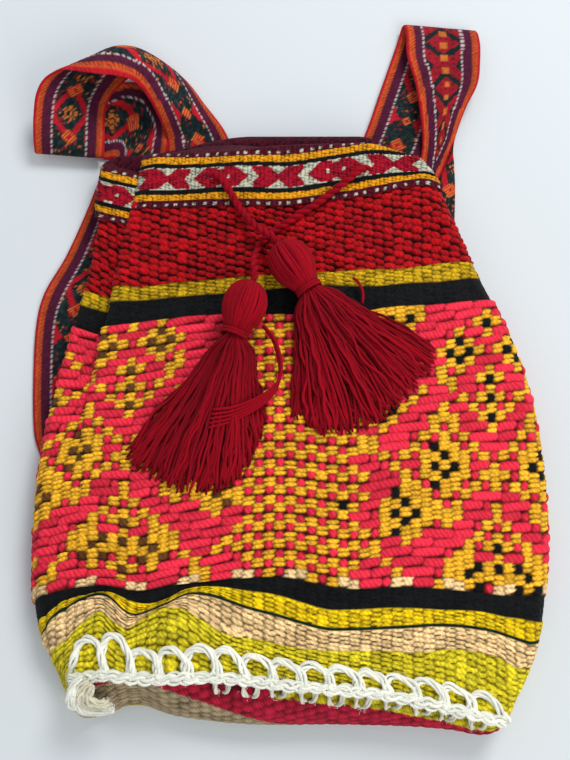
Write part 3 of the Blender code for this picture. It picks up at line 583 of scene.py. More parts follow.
# The places across and up the front at which its map is made
MAP_X = np.linspace(-0.130, 0.145, 111)
MAP_V = np.linspace(0.0, 1.0, 121)


def height_map():
    """The front's outer face as rows of (x, y, z), for laying things on it."""
    rows = []
    for v in MAP_V:
        out = BAND_OUT if v > BAND_BOTTOM_V else CLOTH_T / 2
        rows.append(front_row(v, out, MAP_X))
    return np.array(rows)


FRONT_MAP = height_map()


def front_height(x, y):
    """Height of the cloth's outer face at places on the front."""
    x, y = np.broadcast_arrays(np.asarray(x, float), np.asarray(y, float))
    share = np.clip((x - MAP_X[0]) / (MAP_X[1] - MAP_X[0]), 0, len(MAP_X) - 1.001)
    i = share.astype(int)
    f = share - i
    out = np.empty(x.shape)
    for index in np.ndindex(x.shape):
        k, t = i[index], f[index]
        ys = FRONT_MAP[:, k, 1] * (1 - t) + FRONT_MAP[:, k + 1, 1] * t
        zs = FRONT_MAP[:, k, 2] * (1 - t) + FRONT_MAP[:, k + 1, 2] * t
        out[index] = np.interp(y[index], ys, zs)
    return out


def on_front(x, y, up):
    """A place on the front, so far up from the cloth."""
    return np.array([x, y, float(front_height(x, y)) + RIDGE_HEIGHT + SEAT + up])


def seen(points):
    """Where the photograph shows points of the frame, across and down in its pixels."""
    away = np.asarray(points, float) - np.array(CAMERA_EYE)
    rise = away[..., 1] * math.cos(CAMERA_LEAN) + away[..., 2] * math.sin(CAMERA_LEAN)
    depth = away[..., 1] * math.sin(CAMERA_LEAN) - away[..., 2] * math.cos(CAMERA_LEAN)
    across = PHOTO_W / 2 + FOCAL_PX * away[..., 0] / depth
    down = PHOTO_H / 2 - FOCAL_PX * rise / depth
    return across, down


def band_edge(pixels):
    """A band's edge on the front as (x, v), from where the photograph shows it."""
    across, down = seen(FRONT_MAP)
    edge = []
    for px, py in pixels:
        downs = [np.interp(px, across[i], down[i]) for i in range(len(MAP_V))]
        places = [np.interp(px, across[i], MAP_X) for i in range(len(MAP_V))]
        v = float(np.interp(-py, -np.array(downs), MAP_V))
        edge.append((float(np.interp(v, MAP_V, places)), v))
    return edge


def scatter(a, b, seed):
    """An even spread of numbers from 0 to 1 that depends only on a, b and the seed."""
    value = np.sin(a * 12.9898 + b * 78.233 + seed * 37.719) * 43758.5453
    return value - np.floor(value)


def set_inputs(tree, made, inputs):
    """Give a shader node's inputs their values, or link them to the sockets that feed them."""
    for name, value in inputs.items():
        if isinstance(value, bpy.types.NodeSocket):
            tree.links.new(value, made.inputs[name])
        else:
            made.inputs[name].default_value = value


def shader_node(tree, kind, inputs=None, **settings):
    """A new node of a material, with its settings and its inputs."""
    made = tree.nodes.new(f"ShaderNode{kind}")
    for name, value in settings.items():
        setattr(made, name, value)
    set_inputs(tree, made, inputs or {})
    return made


def math_node(tree, operation, *values):
    """What a sum or a product of numbers and sockets gives."""
    return shader_node(tree, "Math", dict(enumerate(values)), operation=operation).outputs[0]


def ply_wave(tree, scale, slant):
    """Slanting bands along the yarn, as its twisted plies make them."""
    weave = shader_node(tree, "UVMap", uv_map="weave").outputs["UV"]
    turned_with_shadow = shader_node(tree, "Mapping", {"Vector": weave, "Rotation": (0.0, 0.0, slant)})
    bands = {
        "Vector": turned_with_shadow.outputs["Vector"],
        "Scale": scale,
        "Distortion": 3.2,
        "Detail": 1.5,
        "Detail Scale": 2.0,
    }
    return shader_node(tree, "TexWave", bands, wave_type="BANDS", bands_direction="X").outputs["Fac"]


def yarn_material(name, twist=0.0, twist_scale=1.0, slant=0.8, bump=0.35, sheen=0.04, vary=0.22,
                  tint=None, sheen_tint=(1.0, 0.95, 0.9)):
    """Spun yarn: the piece's own colours, uneven dye, fibres, ply twist with painted shade in its grooves,
    and a soft sheen.
    """
    made = bpy.data.materials.new(name)
    made.use_nodes = True
    tree = made.node_tree
    spot = shader_node(tree, "TexCoord").outputs["Object"]
    fine = {"Vector": spot, "Scale": FIBRE_SCALE, "Detail": 4.0, "Roughness": 0.65}
    broad = {"Vector": spot, "Scale": DYE_SCALE, "Detail": 2.0}
    fibres = shader_node(tree, "TexNoise", fine).outputs["Fac"]
    dye = shader_node(tree, "TexNoise", broad).outputs["Fac"]
    if tint is None:
        base = shader_node(tree, "Attribute", attribute_name="yarn").outputs["Color"]
    else:
        base = shader_node(tree, "RGB").outputs[0]
        base.default_value = (*tint, 1.0)

    level = math_node(tree, "MULTIPLY_ADD", fibres, vary * 2.2, 1.0 - vary * 1.1)
    level = math_node(tree, "MULTIPLY_ADD", dye, vary * 1.2, level)
    level = math_node(tree, "SUBTRACT", level, vary * 0.6)
    height = fibres
    if twist > 0:
        ply = ply_wave(tree, twist_scale, slant)
        # The ply bands darken the colour as well as the bump: painted shade in the grooves between the
        # plies.
        shade = math_node(tree, "MULTIPLY_ADD", ply, twist, 1.0 - twist * 0.62)
        level = math_node(tree, "MULTIPLY", shade, level)
        height = math_node(tree, "MULTIPLY_ADD", ply, 0.9, fibres)
    dyed = shader_node(tree, "VectorMath", {0: base, "Scale": level}, operation="SCALE")
    relief = shader_node(tree, "Bump", {"Strength": bump, "Distance": FIBRE_DEPTH, "Height": height})
    set_inputs(tree, tree.nodes["Principled BSDF"], {
        "Base Color": dyed.outputs["Vector"],
        "Normal": relief.outputs["Normal"],
        "Roughness": 0.88,
        "Metallic": 0.0,
        "Specular IOR Level": 0.12,
        "Sheen Weight": sheen,
        "Sheen Roughness": 0.5,
        "Sheen Tint": (*sheen_tint, 1.0),
    })
    return made


def finish_mesh(name, points, faces, colours, uv, material, node):
    """A piece from points and faces, with its yarn colours and weave places."""
    mesh = bpy.data.meshes.new(name)
    mesh.from_pydata(points.tolist(), [], faces)
    layer = mesh.color_attributes.new("yarn", "FLOAT_COLOR", "POINT")
    rgba = np.ones((len(points), 4), np.float32)
    rgba[:, :3] = colours
    layer.data.foreach_set("color", rgba.ravel())
    weave = mesh.uv_layers.new(name="weave")
    corner = np.empty(len(mesh.loops), np.int32)
    mesh.loops.foreach_get("vertex_index", corner)
    weave.data.foreach_set("uv", uv.astype(np.float32)[corner].ravel())
    mesh.materials.append(material)
    mesh.shade_smooth()
    mesh.validate()
    piece = bpy.data.objects.new(name, mesh)
    bpy.context.scene.collection.objects.link(piece)
    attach(piece, "root")
    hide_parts(node)
    return piece


def grid_faces(rows, cols, closed=False, flip=False):
    """Quads of a grid of points, with its last column joined to its first where it is closed."""
    across = cols if closed else cols - 1
    i, j = np.meshgrid(np.arange(rows - 1), np.arange(across), indexing="ij")
    after = (j + 1) % cols
    quads = np.stack([i * cols + j, i * cols + after, (i + 1) * cols + after, (i + 1) * cols + j], axis=-1)
    quads = quads.reshape(-1, 4)
    return (quads[:, ::-1] if flip else quads).tolist()


def woven_piece(name, points, colours, uvs, material, node, flip=True):
    """A piece from a grid of points with their colours and weave places."""
    points = np.array(points)
    faces = grid_faces(*points.shape[:2], flip=flip)
    colours, uvs = np.array(colours).reshape(-1, 3), np.array(uvs).reshape(-1, 2)
    return finish_mesh(name, points.reshape(-1, 3), faces, colours, uvs, material, node)


def floret(dx, dy, dots, reach):
    """What a gold diamond of cells with dark dots shows at a cell, or None outside it."""
    if (dx, dy) in dots:
        return DOT
    return GOLD if abs(dx) + abs(dy) * 0.8 <= reach else None


# What a cell of the field can show, and how high each kind stands
PLAIN, GOLD, DOT, PEACH = range(4)
FIELD_YARNS = ("pink", "figure", "dot", "peach")
FIELD_LEVELS = (1.0, 0.66, 0.34, 0.66)
CROSS_DOTS = ((0, -1), (-1, 0), (1, 0), (0, 1))
RING_DOTS = ((1, -2), (0, -1), (-1, 0), (1, 0), (0, 1), (1, 2))
CORNER_DOTS = ((-1, -1), (0, 0), (-1, 1), (1, 1))
# The figure to one side of its axis, as (columns aside, courses down, dots, reach)
FLORETS = (
    (3, 5, CROSS_DOTS, 2.4),
    (5, 17, RING_DOTS, 2.8),
    (3, 28, CORNER_DOTS, 2.4),
    (9, 22, RING_DOTS, 2.8),
    (11, 11, CROSS_DOTS, 2.4),
)
# Courses down the axis that have a dark dot, and those that have a small gold lozenge
AXIS_DOTS = (2, 8, 10, 12, 25, 27, 30)
AXIS_LOZENGES = (2, 8, 10, 12, 18, 25, 27, 30)


def pattern(column, down):
    """What a cell of the field shows.

    down counts the courses from the field's top. The figure is mirrored about one axis on the right
    and one on the left, with plain checks between them.
    """
    if column > 31:
        column = 62 - column
    if column < -29:
        column = -58 - column
    if down >= 29 and column % 5 in (0, 1):
        return PEACH
    if -6 < column < 9:
        if (column, down) == (5, 21):
            return DOT
        edge = 5 if (down // 3) % 2 else 6
        if -edge < column < edge + 2:
            return GOLD if (column + down) % 2 else PLAIN
    axis, lower = (-16, 3) if column < 1 else (20, 0)
    aside = abs(column - axis)
    down = down + lower
    if down <= 1 and 7 <= aside <= 12 or down == 2 and aside in (8, 10):
        return DOT if down == 1 and aside in (8, 10) else GOLD
    for centre_aside, centre_down, dots, reach in FLORETS:
        cell = floret(aside - centre_aside, down - centre_down, dots, reach)
        if cell is not None:
            return cell
    if aside == 0 and down in AXIS_DOTS:
        return DOT
    if any(abs(down - middle) + aside <= 1 for middle in AXIS_LOZENGES):
        return GOLD
    lattice = (
        abs(down - (13.2 - 1.15 * aside)) < 0.6 and aside <= 5,
        abs(down - (21.5 + 1.2 * aside)) < 0.6 and aside <= 8,
        abs(abs(aside - 5) * 1.15 + abs(down - 17) - 5.6) < 0.62 and aside <= 10,
        aside > 6 and abs((down - aside) % 11 - 2) < 0.6,
        aside > 8 and abs((down + aside) % 11 - 5) < 0.6,
    )
    return GOLD if any(lattice) else PLAIN


def field_tables(courses):
    """What each cell of the field shows, and where the float that it belongs to starts and ends."""
    low, high = -60, 60
    kinds = np.zeros((high - low, courses), int)
    starts = np.zeros_like(kinds)
    ends = np.zeros_like(kinds)
    for row in range(courses):
        for column in range(low, high):
            kinds[column - low, row] = pattern(column, courses - 1 - row)
        start = low
        for column in range(low, high + 1):
            ended = column == high or kinds[column - low, row] != PLAIN
            full = column - start >= 2 and (column + row) % 3 == 0
            if (ended or full) and column > start:
                starts[start - low:column - low, row] = start
                ends[start - low:column - low, row] = column
                start = column
            if ended:
                start = column + 1
    return low, kinds, starts, ends


def kernels(s, t, wide, tall, seed):
    """Oval floats of weft set like bricks: the rise at each place and a number of the float's own."""
    best = np.full(s.shape, -1.0)
    own = np.zeros(s.shape)
    for step in (-1, 0, 1):
        column = np.floor(s) + step
        across = s - column - 0.5
        up = t - 0.5 * np.mod(column, 2) - WEAVE_LEAN * across
        course = np.floor(up)
        number = scatter(column, course, seed)
        aside, above = (scatter(column, course, seed + k) - 0.5 for k in (11, 23))
        size = 0.84 + 0.26 * number
        beside = np.abs(across - 0.16 * aside) / (wide * size)
        over = np.abs(up - course - 0.5 - 0.26 * above - 0.45 * aside * across) / (tall * size)
        rise = 1 - beside**2.2 - over**2.2
        higher = rise > best
        best = np.where(higher, rise, best)
        own = np.where(higher, number, own)
    return best.clip(0.0, 1.0), own


def cell_rise(s, t, column, row, tables):
    """How high a cell of the field reaches at each place, what it shows and a number of its own."""
    low, kinds, starts, ends = tables
    cell = (column - low).astype(int), row.astype(int)
    kind, start, end = kinds[cell], starts[cell], ends[cell]
    plain = kind == PLAIN
    across = s - column - 0.5
    number = np.where(plain, scatter(start, row, 3.0), scatter(column, row, 4.0))
    lean = (0.10 + 0.16 * (number - 0.5)) * np.where(plain, s - (start + end) / 2, across)
    up = t - row - 0.5 - lean - 0.12 * (number - 0.5)
    near = np.minimum(s - start, end - s) - 0.20 * (end - start < 1.5)
    cut = np.clip((0.42 - near) / 0.62, 0.0, None)
    pink = 1 - (np.abs(up) / WEAVES["field"][3]) ** 2.2 - cut**2.2
    grain_up = up + 0.125 * (1 - 2 * np.mod(column, 2))
    grain = np.abs(np.abs(grain_up) - 0.25)
    gold = FIELD_LEVELS[GOLD] * (1 - (np.abs(across) / 0.74) ** 2.2 - (grain / 0.30) ** 2.2)
    beside, over = np.abs(across) / 0.46, np.abs(t - row - 0.5) / 0.46
    dot = FIELD_LEVELS[DOT] * (1 - beside**5 - over**5)
    rise = np.select([plain, kind == DOT], [pink, dot], gold)
    return rise, kind, scatter(number, np.sign(grain_up) * (kind == GOLD), 6.0)


def figured(s, t, courses, tables):
    """The field's weave: the rise at each place, what is seen there and the float's own number."""
    best = np.full(s.shape, -1.0)
    own = np.zeros(s.shape)
    seen_kind = np.zeros(s.shape, int)
    for step in (-1, 0, 1):
        for up_step in (-1, 0, 1):
            row = np.clip(np.floor(t) + up_step, 0, courses - 1)
            rise, kind, number = cell_rise(s, t, np.floor(s) + step, row, tables)
            higher = rise > best
            best = np.where(higher, rise, best)
            own = np.where(higher, number, own)
            seen_kind = np.where(higher, kind, seen_kind)
    return best.clip(0.0, 1.0), seen_kind, own


def weave(yarn, style, courses, s, t, tables):
    """Relief and colour of the body's weave at courses t of a band and columns s, with painted shade in
    the gaps between the floats.
    """
    _, relief, wide, tall = WEAVES[style]
    if style == "field":
        rise, kind, own = figured(s, t, courses, tables)
        level = np.array(FIELD_LEVELS)[kind]
        colour = np.array([YARNS[name] for name in FIELD_YARNS])[kind]
        colour[(kind == DOT) & (s < 0)] = YARNS["left_dot"]
    else:
        rise, own = kernels(s, t, wide, tall, 1.0 + courses)
        level = 1.0
        colour = np.tile(YARNS[yarn], (len(s), 1))
    if yarn == "black":
        relief = relief * BLACK_RELIEF
    floor = GAP_SHADE_FLOORS[style]
    # Painted shade: the colour darkens in the gaps between the floats, down to the floor; the float's own
    # number adds tone that differs at random.
    shade = (floor + (1 - floor) * smooth(-0.05, 0.80, rise / level)) * (0.76 + 0.44 * own)
    return relief * (0.82 + 0.25 * own) * np.sqrt(rise), colour * shade[:, None], own


def body_rows():
    """The weave's mesh rows from the base up, as (band, place in its courses, share of its height).

    The last band's shares go on past 1, where it runs on under the casing.
    """
    rows = []
    for index, (_, _, style, courses) in enumerate(BANDS):
        count = courses * WEAVES[style][0]
        rows += [(index, courses * k / count, k / count) for k in range(count)]
    hidden = HIDDEN_COURSES * WEAVES["fat"][0]
    for k in range(hidden + 1):
        rows.append((len(BANDS) - 1, BANDS[-1][3] + HIDDEN_COURSES * k / hidden, 1 + k / hidden))
    return rows


def lofted():
    """Sections at even stations from the base to the mouth, for reading between them."""
    made = [section(v) for v in np.linspace(0.0, 1.0, STATIONS)]
    return tuple(np.array([row[k] for row in made]) for k in range(4))


def between(table, v):
    """Read a table of sections at a v of its own for every place round the bag."""
    at = np.clip(v, 0.0, 1.0) * (STATIONS - 1)
    low = np.minimum(at.astype(int), STATIONS - 2)
    share = at - low
    column = np.arange(table.shape[1])
    if table.ndim == 3:
        share = share[:, None]
    return table[low, column] * (1 - share) + table[low + 1, column] * share


def crease(x, index, t, courses):
    """The swell below the crease between the lower folds, over the second to the fourth band."""
    rise = {1: smooth(0.0, courses, t), 2: 1.0, 3: smooth(1.6, 0.0, t)}.get(index, 0.0)
    return CREASE_LIFT * hump(x, CREASE_X, CREASE_SPAN) * rise


def row_course(rings, back_v, low_edge, high_edge, share):
    """v round the bag on one row of the weave, and how far each place belongs to the front.

    On the front the row keeps its share of the way between its band's edges, and it runs level
    round the back.
    """
    v = np.full(rings.shape[1], back_v)
    for _ in range(2):
        x, z = between(rings, v).T
        low, high = through(low_edge, x), through(high_edge, x)
        front_v = low + (high - low) * min(share, 1.0)
        if share > 1:
            front_v = front_v + (np.maximum(BODY_TOP_V, high + HIDDEN_REACH) - high) * (share - 1)
        on_top = smooth(*CLOTH_TURN, z - layer_heights(v)[0])
        v = back_v + (front_v - back_v) * on_top
    return v, on_top


def bag_cloth(loft):
    """The woven tube, outside: every float of weft stands proud in its own colour, with painted shade in
    the gaps between the floats.
    """
    rings, normals, arcs, layers = loft
    base = [(x, 0.0) for x in (-0.15, 0.0, 0.15)]
    edges = [base] + [band_edge(pixels) for pixels in BAND_EDGES_PX]
    backs = [0.0] + [band[0] for band in BANDS]
    rows = body_rows()
    tables = field_tables(BANDS[FIELD_BAND][3])
    points, colours, uvs = [], [], []
    for index, t, share in rows:
        end, yarn, style, courses = BANDS[index]
        start = backs[index]
        back_v = start + (end - start) * share
        if share > 1:
            back_v = end + (BODY_TOP_V - end) * (share - 1)
        v, on_top = row_course(rings, back_v, edges[index], edges[index + 1], share)
        ring, arc = between(rings, v), between(arcs, v)
        s = arc / COLUMN
        relief, colour, own = weave(yarn, style, courses, s, np.full(len(s), t), tables)
        relief[[0, -1]] = 0.0002
        sunk = (WEAVES[style][1] * WEAVE_MOST - WEAVE_BED) * (1 - on_top)
        out = CLOTH_T / 2 - WEAVE_BED + relief - sunk + crease(ring[:, 0], index, t, courses) * on_top
        moved = ring + between(normals, v) * out[:, None]
        points.append(place(moved[:, 0], moved[:, 1], v, between(layers, v)[:, 0]))
        colours.append(colour)
        uvs.append(np.column_stack([arc * 100 + own * 3.7, v * 30.6 + own * 1.9]))
    material = yarn_material("Woven cloth", twist=0.32, twist_scale=1.25, slant=-0.62, vary=0.42, bump=0.7)
    third = len(rows) // 3
    parts = {
        "cloth_lower": slice(0, third + 1),
        "cloth_middle": slice(third, 2 * third + 1),
        "cloth_upper": slice(2 * third, None),
    }
    for name, part in parts.items():
        woven_piece(name, points[part], colours[part], uvs[part], material, "bag_body")


def bag_inside():
    """The cloth's inner face, seen through the mouth, its colour darkened as painted shade."""
    points, colours, uvs = [], [], []
    for v in np.linspace(0.0, BODY_TOP_V, 80):
        ring, normal, arc, layers = section(v, INSIDE_STEPS)
        rise, _ = kernels(arc / COLUMN, np.full(len(arc), v * 61), 0.68, 0.58, 8.0)
        moved = ring - normal * (CLOTH_T / 2 - 0.0004 * np.sqrt(rise))[:, None]
        points.append(place(moved[:, 0], moved[:, 1], v, layers[:, 0]))
        band = next((b for b in BANDS if v < b[0]), BANDS[-1])
        # Painted shade inside the bag: the yarn's colour at 0.3 to 0.6, darkest in the gaps between the
        # floats.
        colours.append(YARNS[band[1]] * (0.3 + 0.3 * rise)[:, None])
        uvs.append(np.column_stack([arc * 100, np.full(len(arc), v * 30.6)]))
    material = yarn_material("Cloth inside", twist=0.25, twist_scale=1.9, slant=0.62)
    woven_piece("cloth_inside", points, colours, uvs, material, "bag_body", flip=False)


# The motifs of the mouth band's figured row: their height, how far apart and where one of them stands
MOTIF_HEIGHT = 0.0133
MOTIF_PITCH = 0.0335
MOTIF_START = -0.0706
# Rows of the mouth band from its lower edge to its top, as (height, yarn); the figured row has motifs
BAND_ROWS = (
    (0.0046, "maroon"),
    (0.0038, "band_gold"),
    (0.0030, "black"),
    (MOTIF_HEIGHT, "figured"),
    (0.0026, "black"),
    (0.0042, "band_gold"),
    (0.0044, "maroon"),
)
# The band's weave: a course's height, a float's length and how far apart its white stitches are
BAND_THREAD = 0.0018
BAND_FLOAT = 0.0024
BAND_STITCH = 0.0062


def band_motif(x, q):
    """Whether a place on the figured row is red: bow ties and lozenges by turns, with white notches."""
    step = (x - MOTIF_START) / MOTIF_PITCH
    index = np.round(step)
    dx = np.abs(step - index) * MOTIF_PITCH
    dq = np.abs(q - 0.5) * MOTIF_HEIGHT
    bow = (dx < 0.0150) & (dx < 0.0115 + dq * 0.9) & ~(dx < (dq - 0.0020) * 1.35)
    lozenge = (dx + 1.15 * dq < 0.0162) & ~((dx < 0.0018) & (dq > 0.0048))
    lozenge &= ~((np.abs(dx - 0.0045) < 0.0009) & (dq < 0.0011))
    return np.where(np.mod(index, 2) == 0, bow, lozenge) & (dq < MOTIF_HEIGHT / 2 - 0.0002)


def band_colour(x, arc, reach):
    """The casing's colour at places round it and up from its lower edge."""
    bounds = np.concatenate([[0.0], np.cumsum([thick for thick, _ in BAND_ROWS])])
    row = np.clip(np.searchsorted(bounds, reach, side="right") - 1, 0, len(BAND_ROWS) - 1)
    q = (reach - bounds[row]) / (bounds[row + 1] - bounds[row])
    names = np.array([yarn for _, yarn in BAND_ROWS])[row]
    colour = np.array([YARNS["band_white" if yarn == "figured" else yarn] for _, yarn in BAND_ROWS])[row]
    colour[(names == "figured") & band_motif(x, q)] = YARNS["band_red"]
    stitch = np.floor(arc / BAND_STITCH)
    from_middle = np.abs(np.mod(arc / BAND_STITCH, 1.0) - 0.35 - 0.3 * scatter(stitch, row, 2.0))
    spot = (names == "maroon") & (from_middle < 0.15) & (np.abs(q - 0.42) < 0.20)
    colour[spot] = YARNS["band_white"]
    return colour


def band_gap(v):
    """How far the casing's leaves lie from the cloth's middle."""
    opened = smooth(BAND_BOTTOM_V, BODY_TOP_V + 0.01, v)
    return float(BAND_GAP_LOW + (BAND_GAP_CORD - BAND_GAP_LOW) * opened)


def band_route():
    """The casing's way up outside, over the mouth and down inside, as (v, how far out, distance)."""
    outer = [(v, band_gap(v) + LEAF_T) for v in np.linspace(BAND_BOTTOM_V, BAND_FOLD_V, 66)]
    fold = []
    for turn in np.linspace(0, math.pi, 15)[1:-1]:
        fold.append((BAND_FOLD_V + BAND_FOLD_RISE * math.sin(turn), BAND_OUT * math.cos(turn)))
    inner = [(v, -band_gap(v) - LEAF_T) for v in np.linspace(BAND_FOLD_V, BAND_BOTTOM_V, 24)]
    route = np.array(outer + fold + inner)
    return np.column_stack([route, travelled(route * [BAG_LENGTH, 1.0])])


def mouth_band(loft):
    """The casing: fine warp-faced cloth that folds over the mouth, outside and inside."""
    rings, normals, arcs, layers = loft
    low_edge = band_edge(BAND_EDGES_PX[-1])
    points, colours, uvs = [], [], []
    for v, offset, climbed in band_route():
        own_v = np.full(rings.shape[1], min(v, 1.0))
        ring = between(rings, own_v)
        side = layer_heights(own_v)[0]
        on_top = smooth(*BAND_TURN, ring[:, 1] - side)
        low = through(low_edge, ring[:, 0])
        own_v = own_v + (low - BAND_BOTTOM_V) * smooth(1.0, BAND_BOTTOM_V, v) * on_top
        ring, arc = between(rings, own_v), between(arcs, own_v)
        reach = climbed * (1 + ((1 - low) / (1 - BAND_BOTTOM_V) - 1) * on_top)
        rise, own = kernels(arc / BAND_FLOAT, reach / BAND_THREAD, 0.62, 0.60, 5.0)
        relief = 0.0009 * np.sqrt(rise) * (0.7 + 0.4 * own)
        thin = smooth(0.0, 0.0105, ring[:, 1]) if offset >= 0 else 1.0
        lower, folded = between(layers, own_v).T
        out = offset * thin * (1 - 0.5 * folded) + np.sign(offset) * relief
        moved = ring + between(normals, own_v) * out[:, None]
        row = place(moved[:, 0], moved[:, 1], own_v, lower)
        if v > 1.0:
            row[:, 1] += (v - 1.0) * BAG_LENGTH * (1 - smooth(0.058, 0.078, ring[:, 0]))
        points.append(row)
        if offset < 0:
            # Inside the mouth the band is plain maroon, darkened by a fifth: painted shade.
            colour = YARNS["maroon"] * 0.8
        else:
            front = ring[:, 1] > side + 0.003
            colour = band_colour(np.where(front, ring[:, 0], -ring[:, 0]), arc, reach)
        # Painted shade: darker in the gaps between the band's floats; the float's own number adds tone
        # that differs at random.
        shade = (0.10 + 0.90 * smooth(-0.05, 0.75, rise)) * (0.78 + 0.36 * own)
        colours.append(colour * shade[:, None])
        uvs.append(np.column_stack([arc * 100, np.full(len(arc), climbed * 100)]))
    material = yarn_material("Mouth band weave", twist=0.22, twist_scale=3.4, slant=0.9)
    woven_piece("mouth_band_weave", points, colours, uvs, material, "mouth_band")


def spread(route, spacing):
    """Points a set distance apart on a smooth curve through a route's points."""
    fine = smooth_line(route, 24)
    along = travelled(fine)
    count = max(3, round(along[-1] / spacing) + 1)
    return read_at(np.linspace(0, along[-1], count), along, fine)


def frames_along(points):
    """A tangent and two cross directions that turn as little as they can along a path."""
    points = np.asarray(points, float)
    tangent = np.gradient(points, axis=0)
    tangent /= np.linalg.norm(tangent, axis=1)[:, None] + 1e-12
    side = np.empty_like(points)
    start = np.array([0.0, 0.0, 1.0]) if abs(tangent[0][2]) < 0.9 else np.array([0.0, 1.0, 0.0])
    current = np.cross(tangent[0], start)
    for i, t in enumerate(tangent):
        current = current - t * (current @ t)
        current /= np.linalg.norm(current) + 1e-12
        side[i] = current
    return tangent, side, np.cross(tangent, side)


class Yarns:
    """Collects many yarns as one piece."""

    def __init__(self):
        self.points, self.faces, self.colours, self.uvs = [], [], [], []
        self.count = 0

    def add(self, path, radius, colour, sides=6, taper=1.0):
        """One yarn along a path, of one colour or of a colour at each point."""
        path = np.asarray(path, float)
        n = len(path)
        _, side, up = frames_along(path)
        radius = np.broadcast_to(np.asarray(radius, float), (n,)).copy()
        radius[-1] *= taper
        angles = np.linspace(0, 2 * math.pi, sides, endpoint=False)[None, :, None]
        ring = np.cos(angles) * side[:, None] + np.sin(angles) * up[:, None]
        self.points.append((path[:, None] + ring * radius[:, None, None]).reshape(-1, 3))
        around = np.arange(sides)
        caps = [around[::-1].tolist(), ((n - 1) * sides + around).tolist()]
        for face in grid_faces(n, sides, closed=True) + caps:
            self.faces.append([self.count + point for point in face])
        colour = np.broadcast_to(np.asarray(colour, float), (n, 3))
        self.colours.append(np.repeat(colour, sides, axis=0))
        uv = np.empty((n, sides, 2))
        uv[:, :, 0] = travelled(path)[:, None] * 100
        uv[:, :, 1] = np.linspace(0, 1, sides)[None] * 2 * math.pi * radius.mean() * 100
        self.uvs.append(uv.reshape(-1, 2))
        self.count += n * sides

    def make(self, name, material, node, slot):
        """The piece that all the yarns make."""
        points, colours, uvs = (np.vstack(block) for block in (self.points, self.colours, self.uvs))
        return finish_mesh(name, points, self.faces, colours, uvs, material, node)


def aim_of(spot):
    """A tassel's head and the direction of its skirt."""
    head = np.array(spot["head"])
    aim = np.array(spot["tip"]) - head
    return head, aim / np.linalg.norm(aim)


def eyelet_route(side):
    """The cord's way out of the casing through an eyelet."""
    x = EYELET_X[side]
    inward = 1.0 if x < 0 else -1.0
    return [front_point(x + inward * EYELET_REACH * along, v, out) for along, v, out in EYELET_STEPS]


def tail_path(side):
    """A free end of the cord: out through its eyelet and down over the front to its tassel's head."""
    tail, held = TAILS[side]
    head, aim = aim_of(TASSELS[held])
    reach = HEAD_R * HEAD_STRETCH * math.cos(HEAD_TOP) + HEAD_GAP
    height = on_front(*head, HEAD_R)[2]
    ends = [np.array([*(head - aim * (reach + back)), height]) for back in (CORD_D, 0.0)]
    return spread(eyelet_route(side) + [on_front(*p) for p in tail] + ends, TAIL_STEP)


def plied_cord(middle, radius, sides, even=1.0, uneven=0.0):
    """Two plies twisted round a cord's middle line, and the line's length."""
    along = travelled(middle)
    _, across, up = frames_along(middle)
    cord = Yarns()
    for phase in (0.0, math.pi):
        turn = (phase + along * 2 * math.pi / PLY_PITCH)[:, None]
        path = middle + (np.cos(turn) * across + np.sin(turn) * up) * (CORD_D / 2 - PLY_R)
        shade = (even + uneven * np.sin(along * 900 + phase))[:, None]
        cord.add(path, radius, YARNS["crimson"] * shade, sides=sides)
    return cord, float(along[-1])


def cord_tail(side, material):
    """The twisted two-ply cord from its eyelet to its tassel."""
    middle = spread(tail_path(side), 0.0011)
    cord, length = plied_cord(middle, PLY_R * 1.08, 9, even=0.92, uneven=0.10)
    piece = cord.make(f"cord_{side}_tail", material, f"drawcord_{side}_tail", "crimson_yarn")
    return piece, middle, length


def casing_cord(material):
    """The cord inside the casing, from the right eyelet round the back to the left one."""
    ring, _, _, layers = section(CORD_V)
    x = ring[:, 0]
    on_top = ring[:, 1] > float(layer_heights(CORD_V)[0]) + 0.006
    past_right = on_top & (x < EYELET_X["right"] + EYELET_REACH)
    before_left = on_top & (x > EYELET_X["left"] - EYELET_REACH)
    front_right = int(np.argmax(past_right))
    front_left = len(ring) - 1 - int(np.argmax(before_left[::-1]))
    ring = np.column_stack([ring, layers])
    line = np.vstack([ring[front_left + 1:-1], ring[:front_right]])
    middle = spread(place(line[:, 0], line[:, 1], CORD_V, line[:, 2])[::4], 0.0022)
    cord, _ = plied_cord(middle, PLY_R, 7)
    cord.make("cord_in_casing", material, "drawcord_in_casing", "crimson_yarn")


